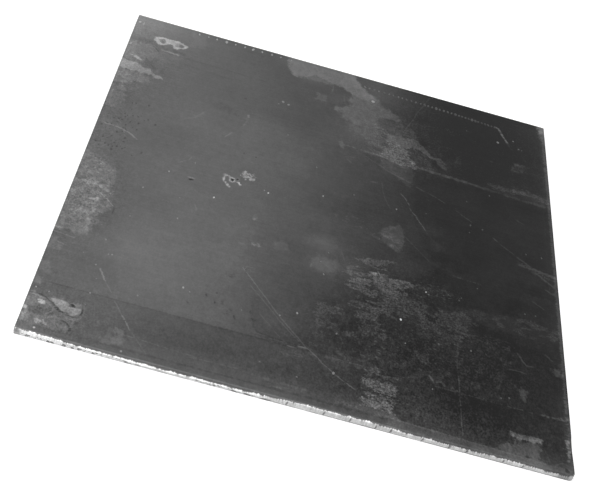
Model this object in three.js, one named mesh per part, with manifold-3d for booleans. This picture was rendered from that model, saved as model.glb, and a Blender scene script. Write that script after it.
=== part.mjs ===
// Steel plate: one rectangular piece of hot-rolled mild steel, cut to size on a guillotine.
// Millimetres, +Z up. The origin is the middle of the underside, +X runs along the short
// side and +Y along the long side. The -Y edge is called the front.

import * as THREE from "three";
import { mergeVertices } from "three/addons/utils/BufferGeometryUtils.js";
import Module from "manifold-3d";

// Overall size
const plateWidth = 450;
const plateLength = 600;
const plateThickness = 6;

// Corners as sheared, and the front right one, which has been knocked round in handling
const shearedCornerRadius = 0.8;
const dubbedCornerRadius = 4;
const cornerSteps = 6;

// Sheared edge, from the top face down: the blade first rolls the rim over, then burnishes
// a land, and the rest tears away behind a small step and ends in a burr
const rolloverWidth = 1.6;
const rolloverDepth = 0.6;
const rolloverSteps = 6;
const breakStepDepth = 0.12;
const breakStepHeight = 0.15;
const fractureSetback = 0.4;
const burrThrow = 0.16;
const burrHeight = 0.3;

// Height of the burnished land at each corner; it changes along a cut with the blade's rake
const landHeightFrontLeft = 3;
const landHeightFrontRight = 4.3;
const landHeightBackRight = 3.2;
const landHeightBackLeft = 2.6;

// The line where the land breaks into the tear wanders: a long wave and a short one
const breakWaveHeight = 0.22;
const breakWaveLength = 87;
const breakRippleHeight = 0.1;
const breakRippleLength = 31;
const edgeStationPitch = 10;

// Grooves that chips in the blade drew down the front edge, by distance from its right end
const bladeNickPlaces = [41, 57, 87, 101, 123, 149, 161, 182, 203, 233];
const bladeNickWidth = 1.8;
const bladeNickDepth = 0.55;
const bladeNickLean = THREE.MathUtils.degToRad(12);

// Shallow hollow filed into the right edge near the front corner, with a nick at its far end
const filedHollowStart = 12;
const filedHollowLength = 42;
const filedHollowDepth = 0.8;
const filedHollowSteps = 16;
const rimNickWidth = 2.4;
const rimNickDepth = 1.1;

// How far a cutting tool reaches past the faces that it cuts through
const toolOverrun = 2;

const millScale = new THREE.MeshStandardMaterial({
  name: "mill_scale",
  color: new THREE.Color().setRGB(0.28, 0.28, 0.28, THREE.SRGBColorSpace),
  roughness: 0.5,
  metalness: 0.6,
});

// Corners anticlockwise from above; signs give the quarter of the plate that each is in
const corners = [
  { signX: 1, signY: -1, radius: dubbedCornerRadius, land: landHeightFrontRight },
  { signX: 1, signY: 1, radius: shearedCornerRadius, land: landHeightBackRight },
  { signX: -1, signY: 1, radius: shearedCornerRadius, land: landHeightBackLeft },
  { signX: -1, signY: -1, radius: shearedCornerRadius, land: landHeightFrontLeft },
];
const quarterTurn = Math.PI / 2;

// A point on a corner's arc, for an outline that lies inset from the overall one. The
// radius grows with the inset, so that the rolled rim stays rounded on the inside.
function cornerPoint(index, turned, inset) {
  const corner = corners[index];
  const radius = corner.radius + inset;
  const angle = (index - 1 + turned) * quarterTurn;
  const centreX = corner.signX * (plateWidth / 2 - inset - radius);
  const centreY = corner.signY * (plateLength / 2 - inset - radius);
  return new THREE.Vector2(
    centreX + radius * Math.cos(angle),
    centreY + radius * Math.sin(angle),
  );
}

// The stations of the loft: the steps round each corner, then the steps along the edge
// that follows it. `along` is the distance round the plate, for the break line's waves.
function loftStations() {
  const stations = [];
  let along = 0;
  corners.forEach((corner, index) => {
    const next = (index + 1) % corners.length;
    for (let step = 0; step <= cornerSteps; step += 1) {
      const turned = step / cornerSteps;
      stations.push({
        along: along + turned * quarterTurn * corner.radius,
        land: corner.land,
        place: (inset) => cornerPoint(index, turned, inset),
      });
    }
    along += quarterTurn * corner.radius;
    const edgeLength = cornerPoint(index, 1, 0).distanceTo(cornerPoint(next, 0, 0));
    const edgeSteps = Math.max(1, Math.round(edgeLength / edgeStationPitch));
    for (let step = 1; step < edgeSteps; step += 1) {
      const share = step / edgeSteps;
      stations.push({
        along: along + share * edgeLength,
        land: THREE.MathUtils.lerp(corner.land, corners[next].land, share),
        place: (inset) => cornerPoint(index, 1, inset).lerp(cornerPoint(next, 0, inset), share),
      });
    }
    along += edgeLength;
  });
  return stations;
}

// How far the break line strays from its straight run
function breakLineWander(along) {
  const wave = breakWaveHeight * Math.sin((2 * Math.PI * along) / breakWaveLength);
  const ripple = breakRippleHeight * Math.sin((2 * Math.PI * along) / breakRippleLength);
  return wave + ripple;
}

// Section of the sheared edge at one station: x is the inset, y is the height
function edgeSection(station) {
  const rollover = new THREE.EllipseCurve(
    rolloverWidth,
    plateThickness - rolloverDepth,
    rolloverWidth,
    rolloverDepth,
    quarterTurn,
    2 * quarterTurn,
  );
  const landHeight = station.land + breakLineWander(station.along);
  const breakLine = plateThickness - rolloverDepth - landHeight;
  return [
    ...rollover.getPoints(rolloverSteps),
    new THREE.Vector2(0, breakLine),
    new THREE.Vector2(breakStepDepth, breakLine - breakStepHeight),
    new THREE.Vector2(fractureSetback, burrHeight),
    new THREE.Vector2(fractureSetback - burrThrow, 0),
  ];
}

// Skins the section over the stations and closes the top and the underside
function shearedBlankGeometry() {
  const stations = loftStations();
  const sections = stations.map(edgeSection);
  const rowCount = sections[0].length;
  const positions = [];
  for (let row = 0; row < rowCount; row += 1) {
    stations.forEach((station, column) => {
      const { x: inset, y: height } = sections[column][row];
      const place = station.place(inset);
      positions.push(place.x, place.y, height);
    });
  }
  const count = stations.length;
  const indices = [];
  for (let row = 0; row < rowCount - 1; row += 1) {
    for (let column = 0; column < count; column += 1) {
      const upper = row * count + column;
      const upperNext = row * count + ((column + 1) % count);
      indices.push(upper, upper + count, upperNext);
      indices.push(upperNext, upper + count, upperNext + count);
    }
  }
  const rimAt = (row) => stations.map((station, column) => station.place(sections[column][row].x));
  const lowest = (rowCount - 1) * count;
  for (const [a, b, c] of THREE.ShapeUtils.triangulateShape(rimAt(0), [])) {
    indices.push(a, b, c);
  }
  for (const [a, b, c] of THREE.ShapeUtils.triangulateShape(rimAt(rowCount - 1), [])) {
    indices.push(lowest + a, lowest + c, lowest + b);
  }
  const geometry = new THREE.BufferGeometry();
  geometry.setAttribute("position", new THREE.Float32BufferAttribute(positions, 3));
  geometry.setIndex(indices);
  return geometry;
}

// A cutting tool that stands through the plate: its outline in plan, run past both faces
function uprightTool(outline) {
  const height = plateThickness + 2 * toolOverrun;
  const geometry = new THREE.ExtrudeGeometry(outline, { depth: height, bevelEnabled: false });
  geometry.translate(0, 0, -toolOverrun);
  return geometry;
}

// Outline of a V groove that enters along +Y from a straight edge on the X axis
function grooveOutline(width, depth) {
  const mouth = width * (1 + toolOverrun / depth);
  return new THREE.Shape([
    new THREE.Vector2(-mouth / 2, -toolOverrun),
    new THREE.Vector2(mouth / 2, -toolOverrun),
    new THREE.Vector2(0, depth),
  ]);
}

// One blade nick, leaning a little in the plane of the front edge
function bladeNickTool(distanceFromRight) {
  const tool = uprightTool(grooveOutline(bladeNickWidth, bladeNickDepth));
  tool.translate(0, 0, -plateThickness / 2);
  tool.rotateY(bladeNickLean);
  tool.translate(plateWidth / 2 - distanceFromRight, -plateLength / 2, plateThickness / 2);
  return tool;
}

// Blade nicks that lie on the straight part of the front edge
function bladeNickTools() {
  const lastPlace = plateWidth - shearedCornerRadius - bladeNickWidth;
  return bladeNickPlaces.filter((place) => place < lastPlace).map(bladeNickTool);
}

// The file's hollow: a circular segment whose chord lies on the right edge
function filedHollowTool() {
  const halfChord = filedHollowLength / 2;
  const radius = (halfChord ** 2 + filedHollowDepth ** 2) / (2 * filedHollowDepth);
  const halfAngle = Math.asin(halfChord / radius);
  const arc = new THREE.EllipseCurve(
    radius - filedHollowDepth,
    0,
    radius,
    radius,
    Math.PI + halfAngle,
    Math.PI - halfAngle,
    true,
  );
  const outline = new THREE.Shape([
    ...arc.getPoints(filedHollowSteps),
    new THREE.Vector2(toolOverrun, halfChord),
    new THREE.Vector2(toolOverrun, -halfChord),
  ]);
  const middle = -plateLength / 2 + filedHollowStart + halfChord;
  return uprightTool(outline).translate(plateWidth / 2, middle, 0);
}

// The nick at the far end of the hollow
function rimNickTool() {
  const place = -plateLength / 2 + filedHollowStart + filedHollowLength;
  const tool = uprightTool(grooveOutline(rimNickWidth, rimNickDepth));
  tool.rotateZ(quarterTurn);
  return tool.translate(plateWidth / 2, place, 0);
}

const manifold = await Module();
manifold.setup();

// Turns a closed geometry into a solid that can be cut
function toSolid(geometry) {
  const bare = geometry.clone();
  bare.deleteAttribute("normal");
  bare.deleteAttribute("uv");
  const merged = mergeVertices(bare);
  return new manifold.Manifold(
    new manifold.Mesh({
      numProp: 3,
      vertProperties: new Float32Array(merged.attributes.position.array),
      triVerts: new Uint32Array(merged.index.array),
    }),
  );
}

// Turns a solid back into a geometry
function toGeometry(solid) {
  const mesh = solid.getMesh();
  const geometry = new THREE.BufferGeometry();
  geometry.setAttribute("position", new THREE.BufferAttribute(mesh.vertProperties, 3));
  geometry.setIndex(new THREE.BufferAttribute(mesh.triVerts, 1));
  geometry.computeVertexNormals();
  return geometry;
}

// The finished plate: the sheared blank, less the nicks and the filed hollow
function steelPlate() {
  const tools = [...bladeNickTools(), filedHollowTool(), rimNickTool()];
  const cut = tools.reduce(
    (solid, tool) => solid.subtract(toSolid(tool)),
    toSolid(shearedBlankGeometry()),
  );
  const mesh = new THREE.Mesh(toGeometry(cut), millScale);
  mesh.name = "steel_plate";
  return mesh;
}

const group = new THREE.Group();
group.add(steelPlate());

export default group;
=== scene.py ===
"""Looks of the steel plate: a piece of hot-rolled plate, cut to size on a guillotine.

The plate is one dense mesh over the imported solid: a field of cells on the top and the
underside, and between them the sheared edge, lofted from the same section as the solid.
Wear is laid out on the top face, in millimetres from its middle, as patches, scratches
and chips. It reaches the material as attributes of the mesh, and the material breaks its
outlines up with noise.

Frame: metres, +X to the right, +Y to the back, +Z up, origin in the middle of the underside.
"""

import logging
import math
from dataclasses import dataclass, field
from enum import Enum

import bpy
import numpy as np
from mathutils import Matrix, Vector


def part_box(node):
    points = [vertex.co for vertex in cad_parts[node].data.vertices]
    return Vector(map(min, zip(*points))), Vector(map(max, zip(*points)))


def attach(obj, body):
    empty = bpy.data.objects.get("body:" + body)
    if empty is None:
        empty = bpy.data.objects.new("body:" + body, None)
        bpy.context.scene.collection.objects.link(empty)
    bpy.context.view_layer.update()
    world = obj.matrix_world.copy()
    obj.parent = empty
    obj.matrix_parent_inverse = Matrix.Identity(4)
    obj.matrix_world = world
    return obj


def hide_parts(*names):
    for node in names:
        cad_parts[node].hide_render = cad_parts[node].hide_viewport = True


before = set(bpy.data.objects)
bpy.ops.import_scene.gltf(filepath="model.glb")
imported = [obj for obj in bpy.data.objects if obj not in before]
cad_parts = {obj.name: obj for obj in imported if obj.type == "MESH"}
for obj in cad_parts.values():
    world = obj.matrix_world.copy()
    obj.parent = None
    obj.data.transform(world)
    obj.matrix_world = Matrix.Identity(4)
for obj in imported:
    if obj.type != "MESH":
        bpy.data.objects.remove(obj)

log = logging.getLogger("steel_plate")

PLATE_NODE = "steel_plate"
MM = 0.001
SHADES = 255.0
DISPLAY_GAMMA = 2.2
PLAIN_NOISE_MIDDLE = 0.5
PLAIN_NOISE_SPREAD = 0.132
SHARP_FROM_DEGREES = 50.0

Point = tuple[float, float]
Path = tuple[Point, ...]
Span = tuple[float, float]
Triple = tuple[float, float, float]
Material = bpy.types.Material
Object = bpy.types.Object


# ---------------------------------------------------------------- node trees


@dataclass(frozen=True)
class Wire:
    """An output socket of a node tree. An expression on wires adds the nodes that work it out.

    Attributes:
        tree: the tree that the socket is in.
        socket: the socket.
    """

    tree: "Tree"
    socket: bpy.types.NodeSocket

    def _maths(self, operation: str, *terms: "Wire | float") -> "Wire":
        """Adds a Math node, or a Vector Math node if a term is a vector.

        Args:
            operation: the node's operation, which both kinds of node call the same.
            terms: what goes in, in order.

        Returns:
            The node's result.
        """
        vector = any(isinstance(t, Wire) and t.socket.type == "VECTOR" for t in terms)
        kind = "ShaderNodeVectorMath" if vector else "ShaderNodeMath"
        node = self.tree.add(kind, operation=operation)
        for socket, term in zip(node.inputs, terms):
            self.tree.feed(socket, term)
        return Wire(self.tree, node.outputs[0])

    def __add__(self, other: "Wire | float") -> "Wire":
        """self + other."""
        return self._maths("ADD", self, other)

    def __radd__(self, other: float) -> "Wire":
        """other + self."""
        return self._maths("ADD", other, self)

    def __sub__(self, other: "Wire | float") -> "Wire":
        """self - other."""
        return self._maths("SUBTRACT", self, other)

    def __rsub__(self, other: float) -> "Wire":
        """other - self."""
        return self._maths("SUBTRACT", other, self)

    def __mul__(self, other: "Wire | float") -> "Wire":
        """self * other."""
        return self._maths("MULTIPLY", self, other)

    def __rmul__(self, other: float) -> "Wire":
        """other * self."""
        return self._maths("MULTIPLY", other, self)

    def __truediv__(self, other: "Wire | float") -> "Wire":
        """self / other."""
        return self._maths("DIVIDE", self, other)

    def __pow__(self, power: float) -> "Wire":
        """self to a power."""
        return self._maths("POWER", self, power)

    def __neg__(self) -> "Wire":
        """Minus self."""
        return self._maths("MULTIPLY", self, -1.0)

    def __abs__(self) -> "Wire":
        """The distance from nothing."""
        return self._maths("ABSOLUTE", self)

    def at_least(self, floor: "Wire | float") -> "Wire":
        """The larger of self and floor."""
        return self._maths("MAXIMUM", self, floor)

    def at_most(self, ceiling: "Wire | float") -> "Wire":
        """The smaller of self and ceiling."""
        return self._maths("MINIMUM", self, ceiling)

    def rise(self, low: "Wire | float", high: "Wire | float") -> "Wire":
        """A smooth step: 0 up to low, 1 from high on.

        Args:
            low: where the step starts.
            high: where it ends.

        Returns:
            The step's height.
        """
        values = {"Value": self, "From Min": low, "From Max": high}
        return self.tree.node("ShaderNodeMapRange", values, interpolation_type="SMOOTHSTEP")["Result"]

    def blend(self, other: "Wire | float", share: "Wire | float") -> "Wire":
        """self where share is 0 and other where it is 1."""
        return self + (other - self) * share

    def parts(self) -> tuple["Wire", "Wire", "Wire"]:
        """The three numbers of a vector."""
        found = self.tree.node("ShaderNodeSeparateXYZ", {"Vector": self})
        return found["X"], found["Y"], found["Z"]


class Tree:
    """Builds a node tree, of a material, a world or geometry, from expressions."""

    def __init__(self, nodes: bpy.types.NodeTree) -> None:
        """Starts on a tree, which is emptied."""
        self.tree = nodes
        self.tree.nodes.clear()

    def add(self, kind: str, **settings: object) -> bpy.types.Node:
        """Adds a bare node.

        Args:
            kind: the node's type.
            settings: its properties, such as an operation.

        Returns:
            The node.
        """
        node = self.tree.nodes.new(kind)
        for name, value in settings.items():
            setattr(node, name, value)
        return node

    def feed(self, socket: bpy.types.NodeSocket, value: object) -> None:
        """Links a wire to an input socket, or sets the socket to a plain value.

        Args:
            socket: the input socket.
            value: a wire, a number, a vector, a colour or a data block.
        """
        if isinstance(value, Wire):
            self.tree.links.new(value.socket, socket)
        elif isinstance(value, (int, float)) and socket.type in {"VECTOR", "ROTATION"}:
            socket.default_value = (value, value, value)
        else:
            socket.default_value = value

    def node(
        self, kind: str, values: dict[str, object] | None = None, **settings: object
    ) -> dict[str, Wire]:
        """Adds a node with its settings, and then feeds its sockets.

        Args:
            kind: the node's type.
            values: what each input socket gets, by the socket's name or identifier.
            settings: its properties, which are set first.

        Returns:
            The node's outputs that are in use, by name.
        """
        node = self.add(kind, **settings)
        for name, value in (values or {}).items():
            known = [s for s in node.inputs if s.enabled and name in (s.identifier, s.name)]
            self.feed(known[0], value)
        return {s.name: Wire(self, s) for s in node.outputs if s.enabled}

    def vector(self, x: "Wire | float", y: "Wire | float", z: "Wire | float") -> Wire:
        """A vector of three numbers."""
        return self.node("ShaderNodeCombineXYZ", {"X": x, "Y": y, "Z": z})["Vector"]

    def carried(self, name: str, output: str) -> Wire:
        """An attribute that the mesh carries: its Fac, one number, or its Vector."""
        return self.node("ShaderNodeAttribute", attribute_name=name)[output]

    def place(self) -> Wire:
        """The place on the object, metres."""
        return self.node("ShaderNodeTexCoord")["Object"]


@dataclass(frozen=True)
class Noise:
    """A kind of noise.

    Attributes:
        size: how big its blotches are, in the unit of the places that it is read at.
        detail: how many finer layers it has.
        roughness: how strong those are.
    """

    size: float
    detail: float = 2.0
    roughness: float = 0.5

    def at(self, place: Wire) -> Wire:
        """The noise at a place, about nothing and with a spread of one.

        Args:
            place: the place.

        Returns:
            The noise.
        """
        layers = np.array([self.roughness**layer for layer in range(int(self.detail) + 1)])
        spread = PLAIN_NOISE_SPREAD * float(np.sqrt((layers**2).sum()) / layers.sum())
        values = {
            "Vector": place,
            "Scale": 1.0 / self.size,
            "Detail": self.detail,
            "Roughness": self.roughness,
        }
        plain = place.tree.node("ShaderNodeTexNoise", values)["Fac"]
        return (plain - PLAIN_NOISE_MIDDLE) / spread


def add_object(name: str, data: bpy.types.ID) -> Object:
    """Adds an object to the scene.

    Args:
        name: its name.
        data: its mesh, lamp or camera.

    Returns:
        The object.
    """
    made = bpy.data.objects.new(name, data)
    bpy.context.scene.collection.objects.link(made)
    return made


def smooth(mesh: bpy.types.Mesh) -> None:
    """Shades a mesh smooth."""
    mesh.polygons.foreach_set("use_smooth", [True] * len(mesh.polygons))


def write_attributes(mesh: bpy.types.Mesh, attributes: dict[str, np.ndarray]) -> None:
    """Gives the points of a mesh their attributes.

    Args:
        mesh: the mesh.
        attributes: one number or three for each point, by the attribute's name.
    """
    for name, values in attributes.items():
        kind, key = ("FLOAT", "value") if values.ndim == 1 else ("FLOAT_VECTOR", "vector")
        layer = mesh.attributes.new(name, kind, "POINT")
        layer.data.foreach_set(key, values.astype(np.float32).ravel())


# ---------------------------------------------------------------- wear of the top face


class Layer(Enum):
    """The layers of patches. Patches of one layer don't add to each other."""

    FILM = "film"
    CRUST = "crust"
    BARE = "bare"
    SHADE = "shade"


class Score(Enum):
    """The layers of scratches. Scratches of one layer keep clear of each other."""

    FINE = "fine_scores"
    CROSSING = "crossing_scores"
    SKIPPING = "skipping_scores"


@dataclass(frozen=True)
class Patch:
    """An area that is paler or darker than the scale round it.

    Attributes:
        outline: its corners, mm.
        lift: how much paler it is, in shades of 255.
        ragged: how far its outline strays, mm.
        soft: how soft its outline is, about in mm.
        full: how full it is: 2 is solid, 0 is half holes and -1 is a few grains.
    """

    outline: Path
    lift: float
    ragged: float = 2.0
    soft: float = 1.0
    full: float = 20.0


@dataclass(frozen=True)
class Scratch:
    """A line scored into the scale.

    Attributes:
        path: its points, mm.
        width: its width, mm.
        lift: how much paler it is, in shades of 255.
    """

    path: Path
    width: float
    lift: float


@dataclass(frozen=True)
class Cloud:
    """A soft round change of shade or of density.

    Attributes:
        centre: its middle, mm.
        reach: how far it reaches along X and Y, mm.
        amount: its change in the middle.
        turn: how far it is turned, degrees anticlockwise.
    """

    centre: Point
    reach: Point
    amount: float
    turn: float = 0.0

    def at(self, x: np.ndarray, y: np.ndarray) -> np.ndarray:
        """Its change at each place.

        Args:
            x: the places along X, mm.
            y: the places along Y, mm.

        Returns:
            The change.
        """
        turn = math.radians(self.turn)
        dx, dy = x - self.centre[0], y - self.centre[1]
        across = (dx * math.cos(turn) + dy * math.sin(turn)) / self.reach[0]
        up = (dy * math.cos(turn) - dx * math.sin(turn)) / self.reach[1]
        return self.amount * np.exp(-(across**2 + up**2))


def ease(value: np.ndarray, low: float, high: float) -> np.ndarray:
    """A smooth step from 0 at low to 1 at high."""
    share = np.clip((value - low) / (high - low), 0.0, 1.0)
    return share * share * (3.0 - 2.0 * share)


def depth_inside(x: np.ndarray, y: np.ndarray, outline: Path) -> np.ndarray:
    """How far each place lies inside an outline, or outside it if negative.

    Args:
        x: the places along X.
        y: the places along Y.
        outline: the corners of the outline.

    Returns:
        The distances.
    """
    nearest = np.full(x.shape, np.inf)
    inside = np.zeros(x.shape, bool)
    for (ax, ay), (bx, by) in zip(outline, outline[1:] + outline[:1]):
        dx, dy = bx - ax, by - ay
        share = np.clip(((x - ax) * dx + (y - ay) * dy) / (dx * dx + dy * dy), 0.0, 1.0)
        nearest = np.minimum(nearest, np.hypot(x - ax - share * dx, y - ay - share * dy))
        if dy:
            inside ^= ((ay > y) != (by > y)) & (x < ax + dx * (y - ay) / dy)
    return np.where(inside, nearest, -nearest)


def points(flat: tuple[float, ...]) -> Path:
    """Points from their coordinates in a row, X and Y in turn."""
    return tuple(zip(flat[::2], flat[1::2]))


def drawn(kind: type, *rows: tuple) -> tuple:
    """Patches or scratches, each from its points' coordinates and its other values."""
    return tuple(kind(points(flat), *values) for flat, *values in rows)


def clouds(*rows: tuple[float, ...]) -> tuple[Cloud, ...]:
    """Clouds, each from its numbers in a row."""
    return tuple(Cloud(row[:2], row[2:4], *row[4:]) for row in rows)


# Slow changes of the shade of the scale: X, Y, reach along each, change, turn
SHADE_CLOUDS = clouds(
    # the back left corner and the left margin
    (-228, 300, 30, 70, 24), (-190, 305, 40, 55, 20), (-232, 205, 30, 60, 17), (-232, 20, 20, 110, 5),
    # round the film: paler beside it, darker to its right
    (42, 300, 34, 60, 19), (35, 163, 46, 44, 14), (90, 186, 10, 12, -10), (36, 262, 10, 16, 6),
    (-64, 287, 8, 16, 6), (-28, 264, 17, 11, 10), (-3, 238, 16, 22, 6), (55, 217, 24, 16, 4),
    (142, 230, 60, 84, -17), (226, 290, 12, 30, 10), (150, 292, 40, 14, -5), (226, -40, 12, 240, 5),
    # the middle
    (20, 18, 60, 40, -3), (62, 10, 16, 16, 4), (34, -96, 12, 26, 7), (3, -57, 19, 13, 12),
    (102, 18, 18, 16, 5), (60, 112, 16, 20, 6), (84, -50, 16, 26, 2), (9, -91, 17, 16, 13),
    (-60, 20, 40, 40, -4), (-37, -63, 26, 26, -6), (-150, -150, 34, 44, 5), (-120, -130, 40, 40, 2),
    (-192, -80, 14, 60, -6), (-216, -98, 10, 56, -10), (-216, -38, 10, 16, -3), (66, -113, 10, 12, 8),
    (62, -208, 12, 20, 7), (87, -30, 12, 22, -5), (-60, 162, 60, 14, -4), (-60, 60, 30, 14, -3),
    (-212, 162, 12, 12, -6), (-70, -92, 24, 16, -4), (-12, -213, 12, 12, -4), (0, -38, 30, 12, -3),
    (202, -250, 24, 20, 4), (212, 137, 12, 10, 6), (62, -289, 12, 8, 8), (190, -303, 22, 8, 8),
    (87, 238, 12, 12, -5), (87, 187, 10, 12, -5), (-212, 112, 10, 12, -6), (-112, 187, 12, 12, -4),
    (62, -263, 12, 12, -5), (38, 187, 12, 16, -3), (87, -138, 12, 12, 5),
    # the front; the thin cloud along the front rim is a painted reflection of the rolled rim
    (-18, -193, 28, 34, 12), (5, -135, 24, 24, 4), (-175, -190, 24, 22, -5), (0, -243, 50, 22, 4),
    (50, -200, 36, 40, 4), (98, -268, 44, 30, 6), (95, -222, 18, 12, 7), (135, -240, 32, 16, -5),
    (20, -300, 95, 26, 24), (140, -290, 80, 24, 12), (90, -304, 130, 5, 14), (90, -288, 12, 10, -6),
    (205, -304, 36, 22, 20), (226, -296, 8, 14, 18), (226, -255, 6, 40, 18), (-120, -262, 36, 16, -8),
    (95, -245, 26, 20, 5), (-224, -280, 16, 30, 12), (205, -255, 28, 34, 5),
)

# Outline of the mottled margin on the left, which is both stained and spotted
MOTTLED_MARGIN = (
    -228, -6, -214, -12, -203, -20, -193, -30, -192, -46, -193, -58, -189, -70, -191, -80, -186, -90,
    -190, -102, -196, -110, -196, -130, -197, -142, -206, -148, -216, -142, -228, -152,
)

# Soft stains and films: outline, lift, ragged, soft, full
FILM_PATCHES = drawn(
    Patch,
    # the large film: its pale head at the back edge
    ((-60, 303, -59, 284, -56, 271, -53, 261, -47, 258, -40, 259, -37, 266, -28, 272, -18, 268, -12, 265,
     0, 262, 6, 258, 12, 254, 16, 247, 30, 244, 42, 250, 40, 258, 30, 268, 22, 276, 17, 288, 14, 303), 31,
     1, 2.6),
    # its body
    ((14, 252, 10, 238, 13, 228, 8, 222, -3, 217, -3, 210, 1, 205, 4, 200, 9, 194, 14, 189, 20, 185,
     38, 185, 50, 190, 44, 200, 42, 210, 50, 219, 62, 217, 66, 222, 64, 232, 55, 238, 46, 245, 42, 252,
     30, 256), 22, 1.2, 3.4),
    ((40, 216, 62, 220, 90, 197, 84, 188, 52, 186, 40, 184), 8, 1.4, 4),
    ((12, 188, 44, 188, 48, 168, 40, 160, 22, 166, 12, 178), 12, 1.4, 4.4),
    ((-37, 270, -28, 273, -10, 268, -4, 263, -14, 260, -36, 261), 12, 1, 3.6),
    # its foot: a panel that runs down to the right in a band, and a lobe beside it
    ((52.5, 187.5, 73, 188, 82, 193, 88, 186, 95, 174.5, 104, 161, 101, 158.5, 93, 166, 86, 171.5,
     80, 170, 74, 165.5, 66, 167, 52.5, 170), 26, 0.5, 0.9),
    ((105, 163, 110, 165, 118, 148, 115, 144, 108, 150, 104, 158), 15, 0.8, 1.4),
    # the light line across the right half, crisp in front and frayed behind
    ((5, 142, 8, 145, 10, 139.5, 30, 138, 52, 136.2, 52, 133.6, 30, 135.8, 11, 137, 9.5, 130, 6, 132), 16,
     0.5, 0.9),
    ((84, 135.5, 112, 133.6, 150, 130.6, 150, 127, 112, 128.9, 84, 131), 22, 0.5, 0.9),
    ((148, 130.4, 175, 127.6, 200, 126.4, 226, 126.6, 226, 122.6, 200, 122.6, 175, 124, 148, 127), 14,
     0.6, 1),
    # the rubbed rectangle in front of it
    ((60, 131, 82.5, 131, 81.5, 104, 80, 88, 73, 92, 64, 108), 11, 0.6, 1.4),
    ((49, 131, 82.5, 131, 81.5, 98, 76, 99.5, 66, 105, 52, 113), 6, 0.6, 1.4),
    # pale margin of the left side: a tongue, what lies round it, and the strip in front
    ((-228, 192, -220, 193, -214, 189, -209, 189, -204, 185, -198, 183, -193, 178, -186, 174, -179, 169.5,
     -186, 168.5, -196, 170.5, -207, 171.5, -228, 170), 32, 0.9, 1),
    ((-228, 171, -210, 170, -190, 166, -191, 157, -202, 149, -212, 140, -228, 135), 14, 1.2, 2.2),
    ((-228, 134, -214, 134, -209, 112, -208, 100, -214, 88, -221, 85, -228, 84), 11, 1.2, 1.6),
    ((-228, 236, -196, 236, -188, 222, -196, 206, -206, 196, -228, 196), 8, 1.8, 2.6),
    ((-192, 236, -170, 234, -170, 208, -186, 204, -194, 214), 4, 1.8, 2),
    ((-164, 294, -149, 288, -147, 262, -164, 258), 5, 1, 1.4),
    # mottled margin on the left
    (MOTTLED_MARGIN, 8, 1.6, 2),
    ((188, 200.5, 204.5, 200, 197.5, 184, 193, 180.6, 185.5, 181.5, 185.5, 186), 12, 0.5, 1.8),
    ((-25, 234, -15, 234, -13, 222, -23, 220), 12, 1.2, 1.6),
    # stains in front of the middle
    ((-6, -86, 2, -80, 17, -81, 21, -94, 14, -105, 0, -105, -6, -98), 9, 0.6, 3),
    ((-42, -80, -35, -71, -28, -75, -26, -87, -38, -89), 7, 0.6, 2.6),
    ((53, -14, 57, -5, 62, 2, 67, 6, 71, 13, 74.5, 11, 76.5, 2, 77, -20, 76, -34, 72, -38, 61, -30), 13,
     1, 1.5),
    ((182, -204, 184, -198, 188, -202, 188, -212, 186, -221, 183, -216), 19, 0.8, 1.4),
    # stains along the front
    ((175, -269, 199, -269, 201, -279, 195, -281, 196, -285, 199, -293, 162, -294, 164, -284, 176, -281,
     178, -274), 20, 1.6, 1.4),
    ((-150.5, -266, -143.5, -265, -143, -287, -151, -288), 12, 1.4, 1.6),
    ((-158, -268, -153, -267, -152, -289, -158, -289), 6, 1.6, 1.6),
    ((-226, -248, -190, -248, -181, -250, -179, -262, -184, -272, -186, -290, -222, -290, -226, -270), 10,
     1.4, 1.8),
    ((4, -233, 62, -233, 62, -226, 50, -214, 38, -219, 4, -226), 8, 1.6, 2),
    ((72, -288, 150, -291.5, 222, -294.5, 222, -303, 72, -303), 12, 0.6, 0.8),
    ((-228, -221, -218, -223, -219, -234, -228, -236), 16, 1.2, 1.4),
    ((-228, -164, -215, -166, -215, -182, -228, -186), 9, 2, 1.4),
    ((-228, -199, -219, -202, -214, -213, -208, -216, -212, -218, -228, -212), 9, 1.4, 1.6),
    ((91, -187, 97, -189, 100, -196, 101, -202, 97, -202, 94, -196), 10, 1, 1.4),
    # faint steps and stains of the middle and the back
    ((-90, 140, -50, 139, -9, 137, -10, 110, -13, 90, -16, 70, -19, 50, -60, 48, -90, 60), 3, 1, 3),
    ((-82, -56, -66, -58, -62, -66, -62, -84, -64, -100, -70, -125, -76, -150, -92, -150, -88, -100), 2,
     1, 2.2),
    ((86, 227, 98, 229, 97, 226, 88, 224), 8, 1.6, 1.4),
    # painted highlight along the rolled right rim
    ((219, 262, 227, 262, 227, 150, 219, 150), 7, 0.8, 2.4),
    ((221, 234, 227, 234, 227, 188, 221, 188), 18, 0.6, 1.6),
    ((112, 236, 132, 234, 131, 230, 120, 230), 8, 1.8, 1.4),
    ((104, 2, 113, 0, 115, -16, 110, -19, 105, -8), 6, 1.8, 1.8),
    ((-87, 15, -84.5, 18, -81.6, 15, -82, 11, -85, 10), 22, 0.3, 0.9),
)

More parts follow.
